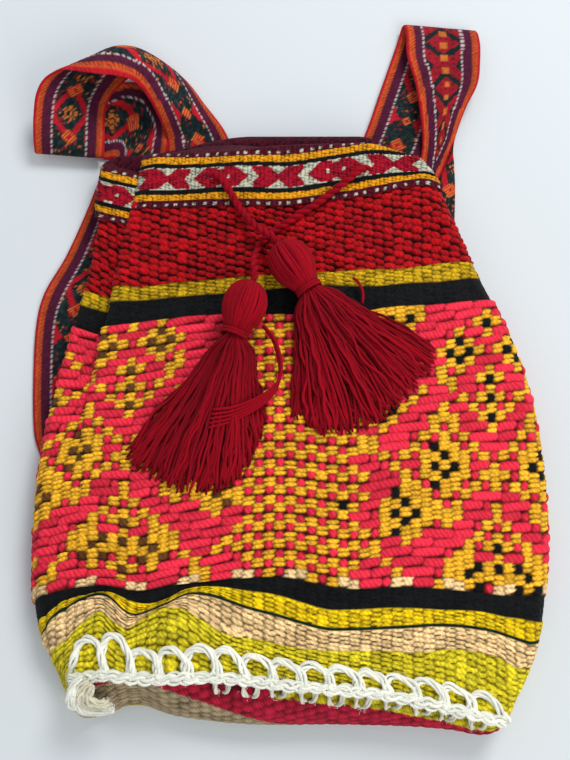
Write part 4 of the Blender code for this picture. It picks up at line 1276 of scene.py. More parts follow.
def fan_yarn(rng, neck, middle, aim, cross, angle, span, layer, curl):
    """One yarn of a tassel's skirt, from the neck over the cloth to its end."""
    steps = 22
    t = np.linspace(0.0, 1.0, steps + 1)
    ripple = rng.normal(0, 0.0011) * np.sin(rng.random() * 6.28 + rng.uniform(1.5, 3.0) * 6.28 * t) * t
    ripple = ripple + rng.normal(0, 0.0004) * np.sin(rng.random() * 6.28 + 30 * t)
    start = np.clip(angle / 0.75, -1, 1) * NECK_R * 0.75
    heading = angle * (0.72 + 0.28 * t**0.6) + curl * np.sin(math.pi * t) * t
    bulge = np.clip(angle / 0.6, -1, 1) * SKIRT_BULGE * smooth(0.0, 0.16, t) * (1 - t)
    sideways = span * t * np.sin(heading) + start * (1 - t) + bulge + ripple
    flat = neck[:2] + aim * (span * t * np.cos(heading))[:, None] + cross * sideways[:, None]
    ground = front_height(flat[:, 0], flat[:, 1]) + RIDGE_HEIGHT + TASSEL_YARN_D * 0.6
    low = middle[2] - NECK_R
    base = low + (ground - low) * smooth(0.0, 0.30, t)
    bundle = (NECK_R * 2 - TASSEL_YARN_D) * (1 - t) + SKIRT_T * 0.62 * t
    bundle = bundle * (1 - 0.62 * smooth(0.70, 1.0, t))
    edge = math.sqrt(max(0.0, 1 - float(np.clip(angle / 0.75, -1, 1)) ** 2))
    rise = np.where(t < 0.12, 0.5 + (layer - 0.5) * (0.4 + 0.6 * edge), layer * (0.35 + 0.65 * edge))
    return np.column_stack([flat, np.maximum(ground, base + bundle * rise)])


def tassel_head(side, middle, axes, rng, material):
    """The bound head: yarns drawn round a filled core."""
    aim, cross, up = axes
    yarns = Yarns()
    core, radii = [], []
    for turn in np.linspace(HEAD_TOP * 0.3, math.radians(150), 11):
        core.append(middle - aim * (HEAD_R * HEAD_STRETCH * math.cos(turn) * 0.93))
        radii.append(HEAD_R * 0.90 * math.sin(turn) ** 0.9)
    # The core is darker than the yarns over it: painted shade seen between them.
    yarns.add(core, radii, YARNS["crimson"] * 0.7, sides=20)
    for i in range(HEAD_YARNS):
        bearing = 2 * math.pi * (i + 0.5 * rng.random()) / HEAD_YARNS
        outward = cross * math.cos(bearing) + up * math.sin(bearing)
        drift = rng.normal(0, 0.09)
        lift = rng.uniform(0.945, 0.985)
        path = []
        for turn in np.linspace(HEAD_TOP * 0.45, math.radians(138), 14):
            lean = outward + np.cross(aim, outward) * drift * math.sin(turn * 1.2)
            radius = HEAD_R * math.sin(turn) ** 0.85 * lift
            path.append(middle - aim * HEAD_R * HEAD_STRETCH * math.cos(turn) + lean * radius)
        path.append(middle + aim * NECK_AT + outward * NECK_R * 0.90)
        yarns.add(path, TASSEL_YARN_D * 0.50, YARNS["crimson"] * (0.70 + 0.5 * rng.random()))
    return yarns.make(f"{side}_tassel_head", material, f"{side}_tassel_yarn", "crimson_yarn")


def fan_ends(spot, neck, aim, cross):
    """The angles and lengths of a skirt's outermost yarns, from the neck."""
    fan = []
    for end in spot["fan"]:
        away = np.array(end) - neck[:2]
        fan.append((math.atan2(float(away @ cross), float(away @ aim)), float(np.linalg.norm(away))))
    return np.array(sorted(fan)).T


def tassel_skirt(side, middle, neck, axes, rng, material):
    """The skirt's yarns, fanned out over the cloth, and the loose ones beside them."""
    spot = TASSELS[side]
    aim, cross = axes[0][:2], axes[1][:2]
    fan, reach = fan_ends(spot, neck, aim, cross)
    yarns = Yarns()
    for i in range(TASSEL_YARNS):
        share = (i + rng.random()) / TASSEL_YARNS
        layer = rng.random()
        angle = fan[0] + (fan[-1] - fan[0]) * share + rng.normal(0, 0.03)
        span = float(np.interp(angle, fan, reach)) * rng.uniform(0.91, 1.02)
        path = fan_yarn(rng, neck, middle, aim, cross, angle, span, layer, rng.normal(0, 0.06))
        # Painted shade: darker towards the bunched neck and in the lower layers under the yarns above; the
        # middle factor is tone that differs at random per yarn.
        shade = np.linspace(0.70, 1.0, len(path)) * (0.66 + 0.50 * rng.random()) * (0.55 + 0.45 * layer)
        colour = YARNS["crimson"] * shade[:, None]
        yarns.add(path, TASSEL_YARN_D / 2 * rng.uniform(0.85, 1.12), colour, taper=0.6)
    for k in range(spot["stray_yarns"]):
        shift = np.array([0.0006, 0.0020]) * k
        route = [[*(np.array(point) + shift * n / 5), 0.0] for n, point in enumerate(spot["stray"])]
        flat = spread(route, 0.003)[:, :2]
        height = front_height(flat[:, 0], flat[:, 1]) + SKIRT_T * (spot["stray_rise"] + 0.05 * k)
        yarns.add(np.column_stack([flat, height]), TASSEL_YARN_D / 2, YARNS["crimson"] * 0.95)
    yarns.make(f"{side}_tassel_skirt", material, f"{side}_tassel_yarn", "crimson_yarn")


def tassel_wraps(side, neck, axes, material):
    """The yarn wound round a tassel's neck."""
    aim, cross, up = axes
    radius = NECK_R + TASSEL_YARN_D * 0.50
    steps = WRAPS * 20
    hoop = []
    for k in range(steps + 1):
        turn = 2 * math.pi * k / 20
        shift = (k / steps - 0.5) * WRAPS * TASSEL_YARN_D * 0.9
        hoop.append(neck + aim * shift + cross * radius * math.cos(turn) + up * radius * math.sin(turn))
    binding = Yarns()
    binding.add(hoop, TASSEL_YARN_D * 0.55, YARNS["crimson"] * 0.8, sides=7)
    return binding.make(f"{side}_tassel_wraps", material, f"{side}_tassel_binding", "crimson_yarn")


def tassel(side, material):
    """A tassel: yarns drawn over the head, bound at the neck and fanned out over the cloth."""
    rng = np.random.default_rng(TASSELS[side]["seed"])
    head, aim = aim_of(TASSELS[side])
    middle = on_front(*head, HEAD_R)
    axes = np.array([[*aim, 0.0], [aim[1], -aim[0], 0.0], [0.0, 0.0, 1.0]])
    neck = middle + axes[0] * NECK_AT
    bulb = tassel_head(side, middle, axes, rng, material)
    tassel_skirt(side, middle, neck, axes, rng, material)
    return bulb, tassel_wraps(side, neck, axes, material)


# The straps' two edges in step, from the end at the mouth to the end at the base, close to the
# solids' ones. The right strap's are nearer to each other where it is folded along its length
STRAP_LAY = STRAP_T / 2
LEFT_STRAP = (
    ((-0.0730, 0.1070, STRAP_LAY), (-0.0300, 0.1070, STRAP_LAY)),
    ((-0.0735, 0.1360, STRAP_LAY), (-0.0320, 0.1390, STRAP_LAY)),
    ((-0.0745, 0.1535, 0.0020), (-0.0370, 0.1575, 0.0013)),
    ((-0.0810, 0.1670, 0.0200), (-0.0500, 0.1760, 0.0013)),
    ((-0.0900, 0.1760, 0.0310), (-0.0650, 0.1940, 0.0015)),
    ((-0.1010, 0.1780, 0.0350), (-0.0830, 0.2030, 0.0015)),
    ((-0.1100, 0.1785, 0.0360), (-0.0910, 0.2010, 0.0020)),
    ((-0.1210, 0.1800, 0.0360), (-0.0980, 0.1950, 0.0035)),
    ((-0.1340, 0.1830, 0.0330), (-0.1030, 0.1890, 0.0048)),
    ((-0.1450, 0.1800, 0.0290), (-0.1080, 0.1830, 0.0054)),
    ((-0.1510, 0.1720, 0.0250), (-0.1115, 0.1750, 0.0058)),
    ((-0.1535, 0.1600, 0.0200), (-0.1125, 0.1640, 0.0064)),
    ((-0.1545, 0.1500, 0.0150), (-0.1115, 0.1500, 0.0090)),
    ((-0.1550, 0.1440, 0.0100), (-0.1120, 0.1400, 0.0075)),
    ((-0.1550, 0.1435, 0.0050), (-0.1135, 0.1405, 0.0045)),
    ((-0.1470, 0.1540, 0.0015), (-0.1170, 0.1430, 0.0015)),
    ((-0.1340, 0.1720, STRAP_LAY), (-0.1130, 0.1400, STRAP_LAY)),
    ((-0.1200, 0.1850, STRAP_LAY), (-0.1090, 0.1400, STRAP_LAY)),
    ((-0.1030, 0.1925, STRAP_LAY), (-0.1065, 0.1400, STRAP_LAY)),
    ((-0.0860, 0.1890, STRAP_LAY), (-0.1060, 0.1390, STRAP_LAY)),
    ((-0.0750, 0.1730, STRAP_LAY), (-0.1075, 0.1370, STRAP_LAY)),
    ((-0.0730, 0.1530, STRAP_LAY), (-0.1110, 0.1340, STRAP_LAY)),
    ((-0.0765, 0.1310, STRAP_LAY), (-0.1150, 0.1290, STRAP_LAY)),
    ((-0.0840, 0.1030, STRAP_LAY), (-0.1245, 0.1020, STRAP_LAY)),
    ((-0.0910, 0.0730, STRAP_LAY), (-0.1345, 0.0770, STRAP_LAY)),
    ((-0.1020, 0.0450, STRAP_LAY), (-0.1465, 0.0540, STRAP_LAY)),
    ((-0.1080, 0.0290, STRAP_LAY), (-0.1505, 0.0350, STRAP_LAY)),
    ((-0.1080, 0.0020, STRAP_LAY), (-0.1510, 0.0060, STRAP_LAY)),
    ((-0.1060, -0.0320, STRAP_LAY), (-0.1490, -0.0300, STRAP_LAY)),
    ((-0.1010, -0.0540, STRAP_LAY), (-0.1435, -0.0490, STRAP_LAY)),
    ((-0.0860, -0.1000, STRAP_LAY), (-0.1290, -0.0970, STRAP_LAY)),
    ((-0.0760, -0.1500, STRAP_LAY), (-0.1190, -0.1500, STRAP_LAY)),
)
RIGHT_STRAP = (
    ((0.0300, 0.1070, STRAP_LAY), (0.0730, 0.1070, STRAP_LAY)),
    ((0.0330, 0.1220, STRAP_LAY), (0.0755, 0.1180, STRAP_LAY)),
    ((0.0490, 0.1540, 0.0013), (0.0890, 0.1380, 0.0013)),
    ((0.0600, 0.1850, 0.0013), (0.1010, 0.1710, 0.0013)),
    ((0.0710, 0.2170, 0.0014), (0.1135, 0.2080, 0.0014)),
    ((0.0750, 0.2290, 0.0048), (0.1215, 0.2245, 0.0048)),
    ((0.0765, 0.2210, 0.0085), (0.1235, 0.2165, 0.0085)),
    ((0.0767, 0.2050, 0.0100), (0.1230, 0.2030, 0.0100)),
    ((0.0812, 0.1870, 0.0105), (0.1205, 0.1860, 0.0110)),
    ((0.0842, 0.1640, 0.0095), (0.1122, 0.1690, 0.0105)),
    ((0.0854, 0.1480, 0.0060), (0.1050, 0.1480, 0.0070)),
    ((0.0840, 0.1390, 0.0026), (0.1055, 0.1350, 0.0030)),
    ((0.0820, 0.1270, 0.0014), (0.1058, 0.1210, 0.0015)),
    ((0.0780, 0.1130, STRAP_LAY), (0.1052, 0.1070, STRAP_LAY)),
    ((0.0710, 0.0950, STRAP_LAY), (0.1046, 0.0920, STRAP_LAY)),
    ((0.0640, 0.0750, STRAP_LAY), (0.1055, 0.0740, STRAP_LAY)),
    ((0.0700, 0.0200, STRAP_LAY), (0.1130, 0.0200, STRAP_LAY)),
    ((0.0790, -0.0600, STRAP_LAY), (0.1220, -0.0600, STRAP_LAY)),
    ((0.0780, -0.1500, STRAP_LAY), (0.1210, -0.1520, STRAP_LAY)),
)
# How far a strap bows off the straight line between its edges, and at what share of its width it is
# folded over, each as (row of the lists above, value)
LEFT_BOW = ((2, 0.0), (3, 0.002), (4, 0.007), (5, 0.012), (6, 0.014), (7, 0.012), (8, 0.008), (9, 0.003),
            (11, 0.0))
RIGHT_BOW = ((0, 0.0), (18, 0.0))
LEFT_FOLD = ((0, 1.0), (31, 1.0))
RIGHT_FOLD = ((0, 1.0), (9.9, 1.0), (11, 0.73), (12, 0.50), (18, 0.50))
# The straps' weave: the width, where the stripes along an edge end, the pattern's repeat, and a
# thread across and a pick along
STRAP_W = 0.043
STRAP_EDGE = 0.0020
STRAP_ORANGE = 0.0052
STRAP_PURPLE = 0.0102
STRAP_WHITE = 0.0114
STRAP_PERIOD = 0.064
STRAP_THREAD = 0.0011
STRAP_PICK = 0.0012
STRAP_COLUMNS = 40


def dark_face(w, u, thread, pick):
    """The dark face between a strap's stripes: outlined diamonds with stars, on a flecked ground."""
    aside = np.abs(w - STRAP_W / 2)
    along = np.abs(np.mod(u, STRAP_PERIOD) - STRAP_PERIOD / 2)
    from_gap = np.abs(along - STRAP_PERIOD / 2)
    colour = np.empty(w.shape + (3,))
    colour[:] = YARNS["strap_dark"]
    outline = np.abs(along / 0.017 + aside / 0.0105 - 1) < 0.17
    triangle = aside > 0.0048 + 0.75 * from_gap
    colour[outline | triangle] = YARNS["strap_red"]
    petal = (np.abs(along - 0.0042) < 0.0016) & (np.abs(aside - 0.0030) < 0.0014)
    colour[petal] = YARNS["strap_dark"] * 2.2
    from_tip = np.abs(along - 0.0145) + aside
    tip = (from_tip < 0.0050) & (from_tip > 0.0015)
    star = (along + aside < 0.0062) & (np.mod(np.floor(w / 0.0015) + np.floor(along / 0.0015), 2) == 0)
    dot = (aside + from_gap < 0.0036) & (aside + from_gap > 0.0010)
    colour[tip | star | dot] = YARNS["strap_floret"]
    colour[(tip | dot) & (np.mod(thread + pick, 2) == 0)] = YARNS["strap_red"]
    fleck = scatter(thread * 1.3, pick, 3.0)
    ground = ~(outline | triangle | petal | tip | star | dot)
    colour[ground & (fleck < 0.30)] = YARNS["strap_dark"] * 2.2
    colour[ground & (fleck > 0.91)] = YARNS["strap_red"] * 0.7
    colour[ground & (fleck > 0.97)] = YARNS["strap_floret"] * 0.8
    return colour


def red_face(w, u, thread, pick):
    """The red face between a strap's stripes: dark chevrons and pits, with a row of beads."""
    aside = np.abs(w - STRAP_W / 2)
    half = STRAP_PERIOD / 4
    step = np.abs(np.mod(u, 2 * half) - half)
    colour = np.empty(w.shape + (3,))
    colour[:] = YARNS["strap_field"] * 0.8
    pit = (np.mod(thread, 3) == 0) & (np.mod(pick, 3) == 0)
    beside = aside > 0.0062 + 0.8 * np.abs(step - half)
    chevron = np.abs(aside * 0.9 + step - 0.0105) < 0.0022
    colour[pit | beside | chevron] = YARNS["strap_dark"]
    bead = (aside < 0.0020) & (np.mod(u, 0.0090) < 0.0042)
    colour[bead] = YARNS["strap_floret"] * 0.8
    return colour


def strap_colour(w, u, dark):
    """A strap's colour across (w from 0 to its width) and along it (u), on its dark or its red face."""
    edge = np.minimum(w, STRAP_W - w)
    thread, pick = np.floor(w / STRAP_THREAD), np.floor(u / STRAP_PICK)
    colour = (dark_face if dark else red_face)(w, u, thread, pick)
    dotted = np.mod(u, 0.0030) < 0.0019
    colour[edge < STRAP_WHITE] = YARNS["strap_purple"]
    colour[(edge < STRAP_WHITE) & (edge >= STRAP_PURPLE) & dotted] = YARNS["strap_white"]
    orange = edge < STRAP_ORANGE
    colour[orange] = YARNS["strap_orange"]
    tick = orange & (np.mod(thread + pick, 2) == 0) & (edge > 0.0030)
    colour[tick] = YARNS["strap_orange"] * 0.55
    colour[edge < STRAP_EDGE] = YARNS["strap_red"]
    return colour


def across_pattern(shares, wide, fold):
    """Places across the pattern at shares of a strap's own width, where it may be narrow or folded.

    The edges' stripes keep more of their width than the middle does, and beyond the fold the other
    face's middle shows.
    """
    keep = STRAP_WHITE + 0.0008
    near = keep * (wide / STRAP_W) ** 0.35 / (wide * fold)
    far = keep * (wide / STRAP_W) ** 0.80 / (wide * fold)
    front = np.interp(shares / fold, (0, near, 1 - far, 1), (0, keep, STRAP_W - keep, STRAP_W))
    return np.where(shares > fold, keep + (shares - fold) * wide, front)


def strap_line(rails):
    """Pairs of points on a strap's two edges, how far along it each pair is, and the row it is at."""
    fine = smooth_line(rails, 16)
    fine[:, :, 2] = np.maximum(fine[:, :, 2], STRAP_LAY)
    along = travelled(fine.mean(axis=1))
    at = np.linspace(0, along[-1], int(along[-1] / STRAP_THREAD))
    both = read_at(at, along, fine.reshape(-1, 6)).reshape(-1, 2, 3)
    return both, at, np.interp(at, along, np.linspace(0, len(rails) - 1, len(fine)))


def strap_normal(both):
    """The way out of a strap's upper face, evened along it."""
    tangent = np.gradient(both.mean(axis=1), axis=0)
    for _ in range(3):
        tangent[1:-1] = (tangent[:-2] + tangent[1:-1] * 2 + tangent[2:]) / 4
    normal = np.cross(tangent, both[:, 1] - both[:, 0])
    return (normal / np.linalg.norm(normal, axis=1)[:, None])[:, None]


def strap(side, rails, bows, folds, dark_sides, material):
    """A woven strap swept along its two edges, patterned on both faces.

    bows says how far the strap's middle stands off the straight line between its edges, folds at
    what share of its width it is folded over, and dark_sides which of its sides are dark: the upper
    at the sewn top end, and the other.
    """
    both, at, station = strap_line(rails)
    normal = strap_normal(both)
    shares = np.linspace(0.004, 0.996, STRAP_COLUMNS)
    fold = np.interp(station, *np.array(folds).T)
    wide = np.linalg.norm(both[:, 1] - both[:, 0], axis=1)
    u = np.repeat(at[:, None], STRAP_COLUMNS, 1)
    w = np.array([across_pattern(shares, *pair) for pair in zip(wide, fold)])
    beyond = (shares - fold[:, None]) * wide[:, None]
    # Beyond the fold the other face shows, darkened to 0.35 next to the fold line: a painted shadow along
    # the fold.
    turned_with_shadow = strap_colour(w, u, True) * (0.35 + 0.65 * smooth(0.0, 0.0030, beyond))[..., None]
    rise = kernels(w.ravel() / STRAP_THREAD, u.ravel() / (2 * STRAP_PICK), 0.62, 0.60, 7.0)[0]
    rise = rise.reshape(w.shape)
    jitter = scatter(np.floor(w / STRAP_THREAD), np.floor(u / STRAP_PICK), 7.0)
    # Painted shade: darker between the threads; the jitter adds tone that differs at random per thread.
    shade = ((0.55 + 0.45 * rise) * (0.82 + 0.3 * jitter))[..., None]
    thin = smooth(0.0, 0.0012, np.minimum(w, STRAP_W - w))
    relief = STRAP_T / 2 * (0.35 + 0.65 * thin) - 0.0003 + 0.0003 * rise
    bow = through(bows, station)[:, None] * 4 * shares * (1 - shares)
    middle = both[:, :1] + (both[:, 1:] - both[:, :1]) * shares[:, None] - normal * bow[..., None]
    uv = np.stack([u * 100, w * 100], axis=-1)
    points, colours, uvs = [], [], []
    for sign, dark in zip((1, -1), dark_sides):
        colour = np.where((beyond > 0)[..., None], turned_with_shadow, strap_colour(w, u, dark))
        points.append((middle + normal * (sign * relief)[..., None])[:, ::sign])
        colours.append((colour * shade)[:, ::sign])
        uvs.append(uv[:, ::sign])
    points, colours, uvs = (np.concatenate(block, axis=1) for block in (points, colours, uvs))
    rows, around = points.shape[:2]
    faces = grid_faces(rows, around, closed=True, flip=True)
    faces.append(list(range(around)))
    faces.append(list(range((rows - 1) * around, rows * around))[::-1])
    finish_mesh(
        f"{side}_strap_weave", points.reshape(-1, 3), faces, colours.reshape(-1, 3),
        uvs.reshape(-1, 2), material, f"{side}_strap",
    )


# The base panel: its courses of weft, and mesh steps along it and across
BASE_COURSES = 9
BASE_COLUMNS = 300
BASE_STEPS = 44
# How far the base bulges down the bag, as (x, bulge)
BASE_PUFF = (
    (-0.117, 0.0010),
    (-0.108, 0.0070),
    (-0.098, 0.0035),
    (-0.088, 0.0002),
    (-0.078, -0.0006),
    (-0.068, 0.0030),
    (-0.045, 0.0085),
    (0.030, 0.0095),
    (0.090, 0.0080),
    (0.110, 0.0080),
    (0.122, 0.0020),
)
# Where the base's red strip ends below, as (x, share of the way from the front's seam to the back's)
RED_STRIP = (
    (-0.077, 0.02),
    (-0.072, 0.08),
    (-0.058, 0.18),
    (-0.037, 0.30),
    (-0.015, 0.46),
    (0.003, 0.62),
    (0.030, 0.85),
    (0.060, 1.0),
)


def base_yarn(x, share):
    """The base panel's stripe at a place across and down it: green, red or beige."""
    if x > -0.006 and share < 0.13 + 0.10 * smooth(0.0, 0.1, x):
        return YARNS["olive"] * 0.9
    if x > RED_STRIP[0][0] and share < through(RED_STRIP, x):
        return YARNS["base_red"]
    if abs(x + 0.101) < 0.006 and 0.03 < share < 0.09:
        return YARNS["base_red"]
    return YARNS["beige"]


def base_panel():
    """The panel under the base, in strips of green, red and beige."""
    ring = section(0.0)[0]
    first, last = int(np.argmax(ring[:, 0])), int(np.argmin(ring[:, 0]))
    right_x, left_x = ring[first, 0], ring[last, 0]
    even = (1 - np.cos(np.linspace(0, math.pi, BASE_COLUMNS))) / 2
    xs = right_x - (right_x - left_x) * even
    top = ring[first:last + 1]
    low = np.vstack([ring[:first + 1], ring[last:]])
    low = low[np.argsort(low[:, 0])]
    z_top = np.interp(-xs, -top[:, 0], top[:, 1])
    z_low = np.interp(xs, low[:, 0], low[:, 1])
    share = np.linspace(0.0, 1.0, BASE_STEPS + 1)
    points, colours, uvs = [], [], []
    for x, *heights in zip(xs, z_top, z_low):
        front, rear = place(np.array([x, x]), np.array(heights), 0.0)
        span = float(np.linalg.norm(front - rear))
        rise, own = kernels(np.full(len(share), x / COLUMN), share * BASE_COURSES, 0.70, 0.58, 9.0)
        puff = through(BASE_PUFF, x) * min(1.0, span / 0.012) * np.sin(np.pi * share) ** 0.8
        line = front + (rear - front) * share[:, None]
        line[:, 1] += -CLEARANCE - puff - 0.0012 * np.sqrt(rise) + 0.0008
        points.append(line)
        stripe = np.array([base_yarn(x, float(q)) for q in share])
        # Painted shade: darker in the gaps between the floats; the float's own number adds tone that
        # differs at random.
        colours.append(stripe * ((0.2 + 0.8 * rise) * (0.8 + 0.3 * own))[:, None])
        uvs.append(np.column_stack([np.full(len(share), x * 100), share * span * 100]))
    material = yarn_material("Base weave", twist=0.28, twist_scale=2.0, slant=0.6)
    woven_piece("base_weave", points, colours, uvs, material, "base_panel")


def strand_bundle(yarns, rng, route, colour, strands, loose):
    """Several strands of one yarn along a route, each a little off it."""
    middle = spread(route, 0.0012)
    along = travelled(middle)
    _, side, up = frames_along(middle)
    radius = STITCH_YARN_D / 2
    for strand in range(strands):
        turn = 2 * math.pi * (strand / strands + along / 0.030) + rng.random()
        wide = loose * (1 + 0.35 * np.sin(along * 420 + rng.random() * 6))
        path = middle + side * (wide * np.cos(turn))[:, None] + up * (wide * 0.8 * np.sin(turn))[:, None]
        path[:, 2] = np.maximum(path[:, 2], radius * 1.2)
        yarns.add(path, radius * rng.uniform(0.85, 1.12), colour * rng.uniform(0.86, 1.04))
    return middle


def fuzz(yarns, rng, paths, colour):
    """Fine loose fibres that stand off woolly yarn."""
    for _ in range(STITCH_FUZZ):
        path = paths[rng.integers(len(paths))]
        root = path[rng.integers(len(path))] + rng.normal(0, 0.0006, 3)
        away = rng.normal(0, 1, 3)
        away[2] = abs(away[2]) * 0.7
        away *= FUZZ_REACH * rng.uniform(0.4, 1.0) / np.linalg.norm(away)
        bend = rng.normal(0, 0.0008, 3)
        hair = np.array([root, root + away * 0.5 + bend, root + away])
        hair[:, 2] = np.maximum(hair[:, 2], 0.0003)
        yarns.add(hair, 0.00008, colour, sides=3)


# The wad of yarn round the base's left corner: its outer line and the middle that its inner turns
# shrink towards, as (across, down) in the photograph's pixels, and its height at (down)
WAD_LINE = ((80, 674), (71, 686), (68, 700), (76, 711), (98, 713), (114, 709))
WAD_MIDDLE = (100, 695)
WAD_HEIGHTS = ((672, 0.0345), (690, 0.0325), (702, 0.0310), (709, 0.0260), (714, 0.0170))
# How many turns the wad has and how many of them are white, and the shade of the others and the legs
WAD_TURNS = 8
WHITE_TURNS = 3
WAD_SHADE = np.array([0.80, 0.75, 0.64])
LEG_SHADE = np.array([0.88, 0.84, 0.78])


def from_photo(across, down, height):
    """The place in the frame at one height that the photograph shows at a pixel."""
    drop = (down - PHOTO_H / 2) / FOCAL_PX
    fall = height - CAMERA_EYE[2]
    lean, stand = math.sin(CAMERA_LEAN), math.cos(CAMERA_LEAN)
    away = fall * (drop * stand - lean) / (stand + drop * lean)
    depth = away * lean - fall * stand
    return np.array([(across - PHOTO_W / 2) / FOCAL_PX * depth, CAMERA_EYE[1] + away, height])


def corner_wad(yarns, rng, white):
    """Turns of yarn wound round the base's left corner, down to the table."""
    outer, middle = np.array(WAD_LINE), np.array(WAD_MIDDLE)
    paths = []
    for k in range(WAD_TURNS):
        line = middle + (outer - middle) * (1.0 - 0.62 * k / (WAD_TURNS - 1))
        heights = through(WAD_HEIGHTS, line[:, 1])
        route = []
        for spot, height in zip(line, heights):
            route.append(from_photo(*spot, height) + rng.normal(0, 0.0005, 3))
        shade = white * (0.98 if k < WHITE_TURNS else WAD_SHADE)
        paths.append(strand_bundle(yarns, rng, route, shade, 3, 0.0011))
    return paths


def on_seam(x, rise, out=0.0):
    """A place just off the cloth, so far up from the seam."""
    return front_point(x, max(0.0, STITCH_SEAM + rise / BAG_LENGTH), STITCH_OFF + out)


def loop_route(rng, x, pitch, tall):
    """One blanket stitch: up from the seam, over and down again."""
    route = []
    for part, rise, out in LOOP_SHAPE:
        drift = rng.normal(0, 0.0004, 2)
        route.append(on_seam(x + pitch * part + drift[0], tall * rise + max(0.0, drift[1]), out))
    return route


def chain_route(node, after, sway):
    """One side of a link in the chained line, from one stitch to the next."""
    route = []
    for part in (-0.1, 0.15, 0.4, 0.65, 0.9, 1.1):
        level = 0.0017 * sway * math.cos(2 * math.pi * part) - 0.0004
        out = 0.0012 - 0.0005 * sway * math.sin(6.3 * part)
        route.append(node + (after - node) * part + [0.0, level, out])
    return route


def leg_route(rng, node):
    """A stitch's leg: from the chained line down over the base and back."""
    drop = 0.0088 + rng.normal(0, 0.0008)
    lean = rng.uniform(0.001, 0.004)
    foot = node + [lean, -drop, -0.0080 - 0.2 * drop]
    near = node + [-0.0004, -0.0014, 0.0]
    far = node + [0.0060 + lean * 0.5, -0.0014, 0.0]
    down = (near + foot) / 2 + [-0.0012, -0.0024, 0.0016]
    back = (far + foot) / 2 + [0.0012, -0.0024, 0.0016]
    return [near, down, foot, back, far]


def stitching():
    """Blanket stitches in loose white yarn: leaning loops, a chained line and legs on the base."""
    rng = np.random.default_rng(5)
    yarns = Yarns()
    white = YARNS["white"]
    first, last = STITCH_ENDS
    count = round((last - first) / STITCH_PITCH)
    pitch = (last - first) / count
    paths = []
    for k in range(count):
        x = first + pitch * k
        tall = LOOP_TALL - LOOP_LOSS * k / count + rng.normal(0, 0.0007)
        if k < TALL_LOOPS:
            tall = tall * TALL_LOOP
        route = loop_route(rng, x, pitch, tall)
        paths.append(strand_bundle(yarns, rng, route, white, 4, 0.0013))
        node, after = on_seam(x, 0.0), on_seam(x + pitch, 0.0)
        for sway in (1.0, -1.0):
            route = chain_route(node, after, sway)
            paths.append(strand_bundle(yarns, rng, route, white, 4, 0.0013))
        if k >= FIRST_LEG:
            paths.append(strand_bundle(yarns, rng, leg_route(rng, node), white * LEG_SHADE, 2, 0.0007))
    paths.extend(corner_wad(yarns, rng, white) * 2)
    fuzz(yarns, rng, paths, white)
    material = yarn_material(
        "Fuzzy white yarn", twist=0.12, twist_scale=3.0, slant=0.7, sheen=0.3, vary=0.10,
    )
    yarns.make("seam_stitches", material, "base_seam_stitching", "white_yarn")


def carried_over():
    """A material for the CAD nodes that stay: the straps' sewing, under the bag."""
    thread = yarn_material("Sewing thread", tint=tuple(YARNS["strap_red"]))
    for strap_side in ("left", "right"):
        for end in ("top", "bottom"):
            node = bpy.data.objects[f"{strap_side}_strap_{end}_sewing"]
            for slot in node.material_slots:
                slot.material = thread


# The table's half width and how far it lies below the frame's plane, and the light from all round
TABLE_HALF = 1.6
TABLE_GAP = 0.0004
TABLE_COLOUR = (0.665, 0.715, 0.750, 1.0)
SKY_COLOUR = (0.93, 0.96, 1.0, 1.0)
SKY_STRENGTH = 0.55
# The lights, as (place, size, power, colour)
LAMPS = {
    "Window": ((0.50, 0.90, 1.10), 0.6, 13.0, (1.0, 0.99, 0.97)),
    "Fill": ((0.7, -0.9, 1.0), 0.9, 8.0, (1.0, 0.95, 0.86)),
}


def camera():
    """The photograph's view of the bag from above."""
    data = bpy.data.cameras.new("Camera")
    data.sensor_width = 36.0
    data.lens = FOCAL_PX / PHOTO_H * data.sensor_width
    data.clip_start = 0.01
    data.clip_end = 20.0
    eye = bpy.data.objects.new("Camera", data)
    eye.location = CAMERA_EYE
    eye.rotation_euler = (CAMERA_LEAN, 0.0, 0.0)
    bpy.context.scene.collection.objects.link(eye)
    bpy.context.scene.camera = eye


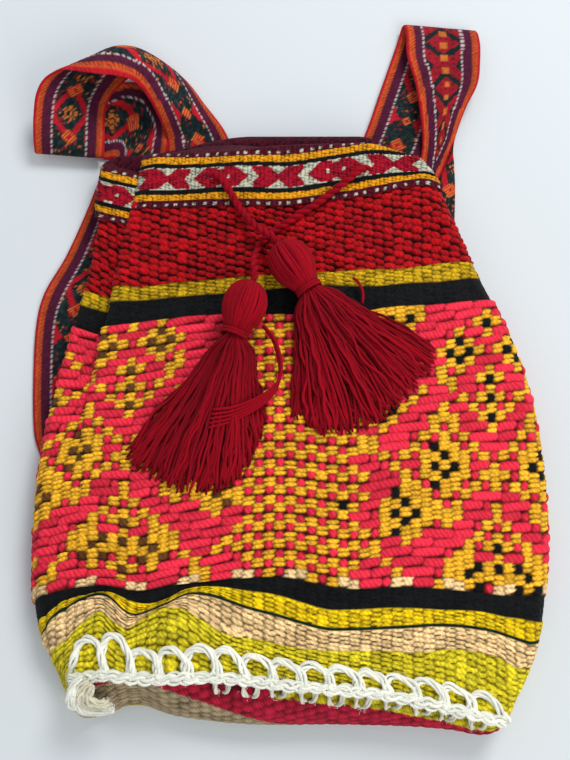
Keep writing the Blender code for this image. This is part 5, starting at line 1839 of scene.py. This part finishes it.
def lamp(name, spot, size, power, colour):
    """A round soft light that faces the bag."""
    data = bpy.data.lights.new(name, "AREA")
    data.shape = "DISK"
    data.size = size
    data.energy = power
    data.color = colour
    light = bpy.data.objects.new(name, data)
    light.location = spot
    x, y, z = spot
    light.rotation_euler = (math.atan2(math.hypot(x, y), z), 0.0, math.atan2(y, x) + math.pi / 2)
    bpy.context.scene.collection.objects.link(light)


def stage():
    """A plain pale table, soft light from above the mouth and an even fill."""
    mesh = bpy.data.meshes.new("Table")
    bm = bmesh.new()
    bmesh.ops.create_grid(bm, x_segments=2, y_segments=2, size=TABLE_HALF)
    bm.to_mesh(mesh)
    bm.free()
    table = bpy.data.objects.new("Table", mesh)
    table.location = (0.0, 0.0, -TABLE_GAP)
    bpy.context.scene.collection.objects.link(table)
    paper = bpy.data.materials.new("Table top")
    paper.use_nodes = True
    set_inputs(paper.node_tree, paper.node_tree.nodes["Principled BSDF"], {
        "Base Color": TABLE_COLOUR,
        "Roughness": 0.7,
        "Specular IOR Level": 0.1,
    })
    mesh.materials.append(paper)

    world = bpy.data.worlds.new("World")
    bpy.context.scene.world = world
    world.use_nodes = True
    set_inputs(world.node_tree, world.node_tree.nodes["Background"], {
        "Color": SKY_COLOUR,
        "Strength": SKY_STRENGTH,
    })
    for name, settings in LAMPS.items():
        lamp(name, *settings)


camera()
stage()
bpy.context.scene.view_settings.view_transform = "Standard"

loft = lofted()
bag_cloth(loft)
bag_inside()
mouth_band(loft)
base_panel()
stitching()
tassel_yarn = yarn_material("Crimson wool", twist=0.35, twist_scale=5.0, slant=0.75, sheen=0.06, vary=0.2,
                            sheen_tint=(0.9, 0.2, 0.25))
tassels = {side: tassel(side, tassel_yarn) for side in TASSELS}
for side in TAILS:
    piece, middle, length = cord_tail(side, tassel_yarn)
strap_yarn = yarn_material("Strap webbing", twist=0.2, twist_scale=3.5, slant=0.8, vary=0.18)
strap("left", LEFT_STRAP, LEFT_BOW, LEFT_FOLD, (True, True), strap_yarn)
strap("right", RIGHT_STRAP, RIGHT_BOW, RIGHT_FOLD, (False, True), strap_yarn)
casing_cord(tassel_yarn)
carried_over()
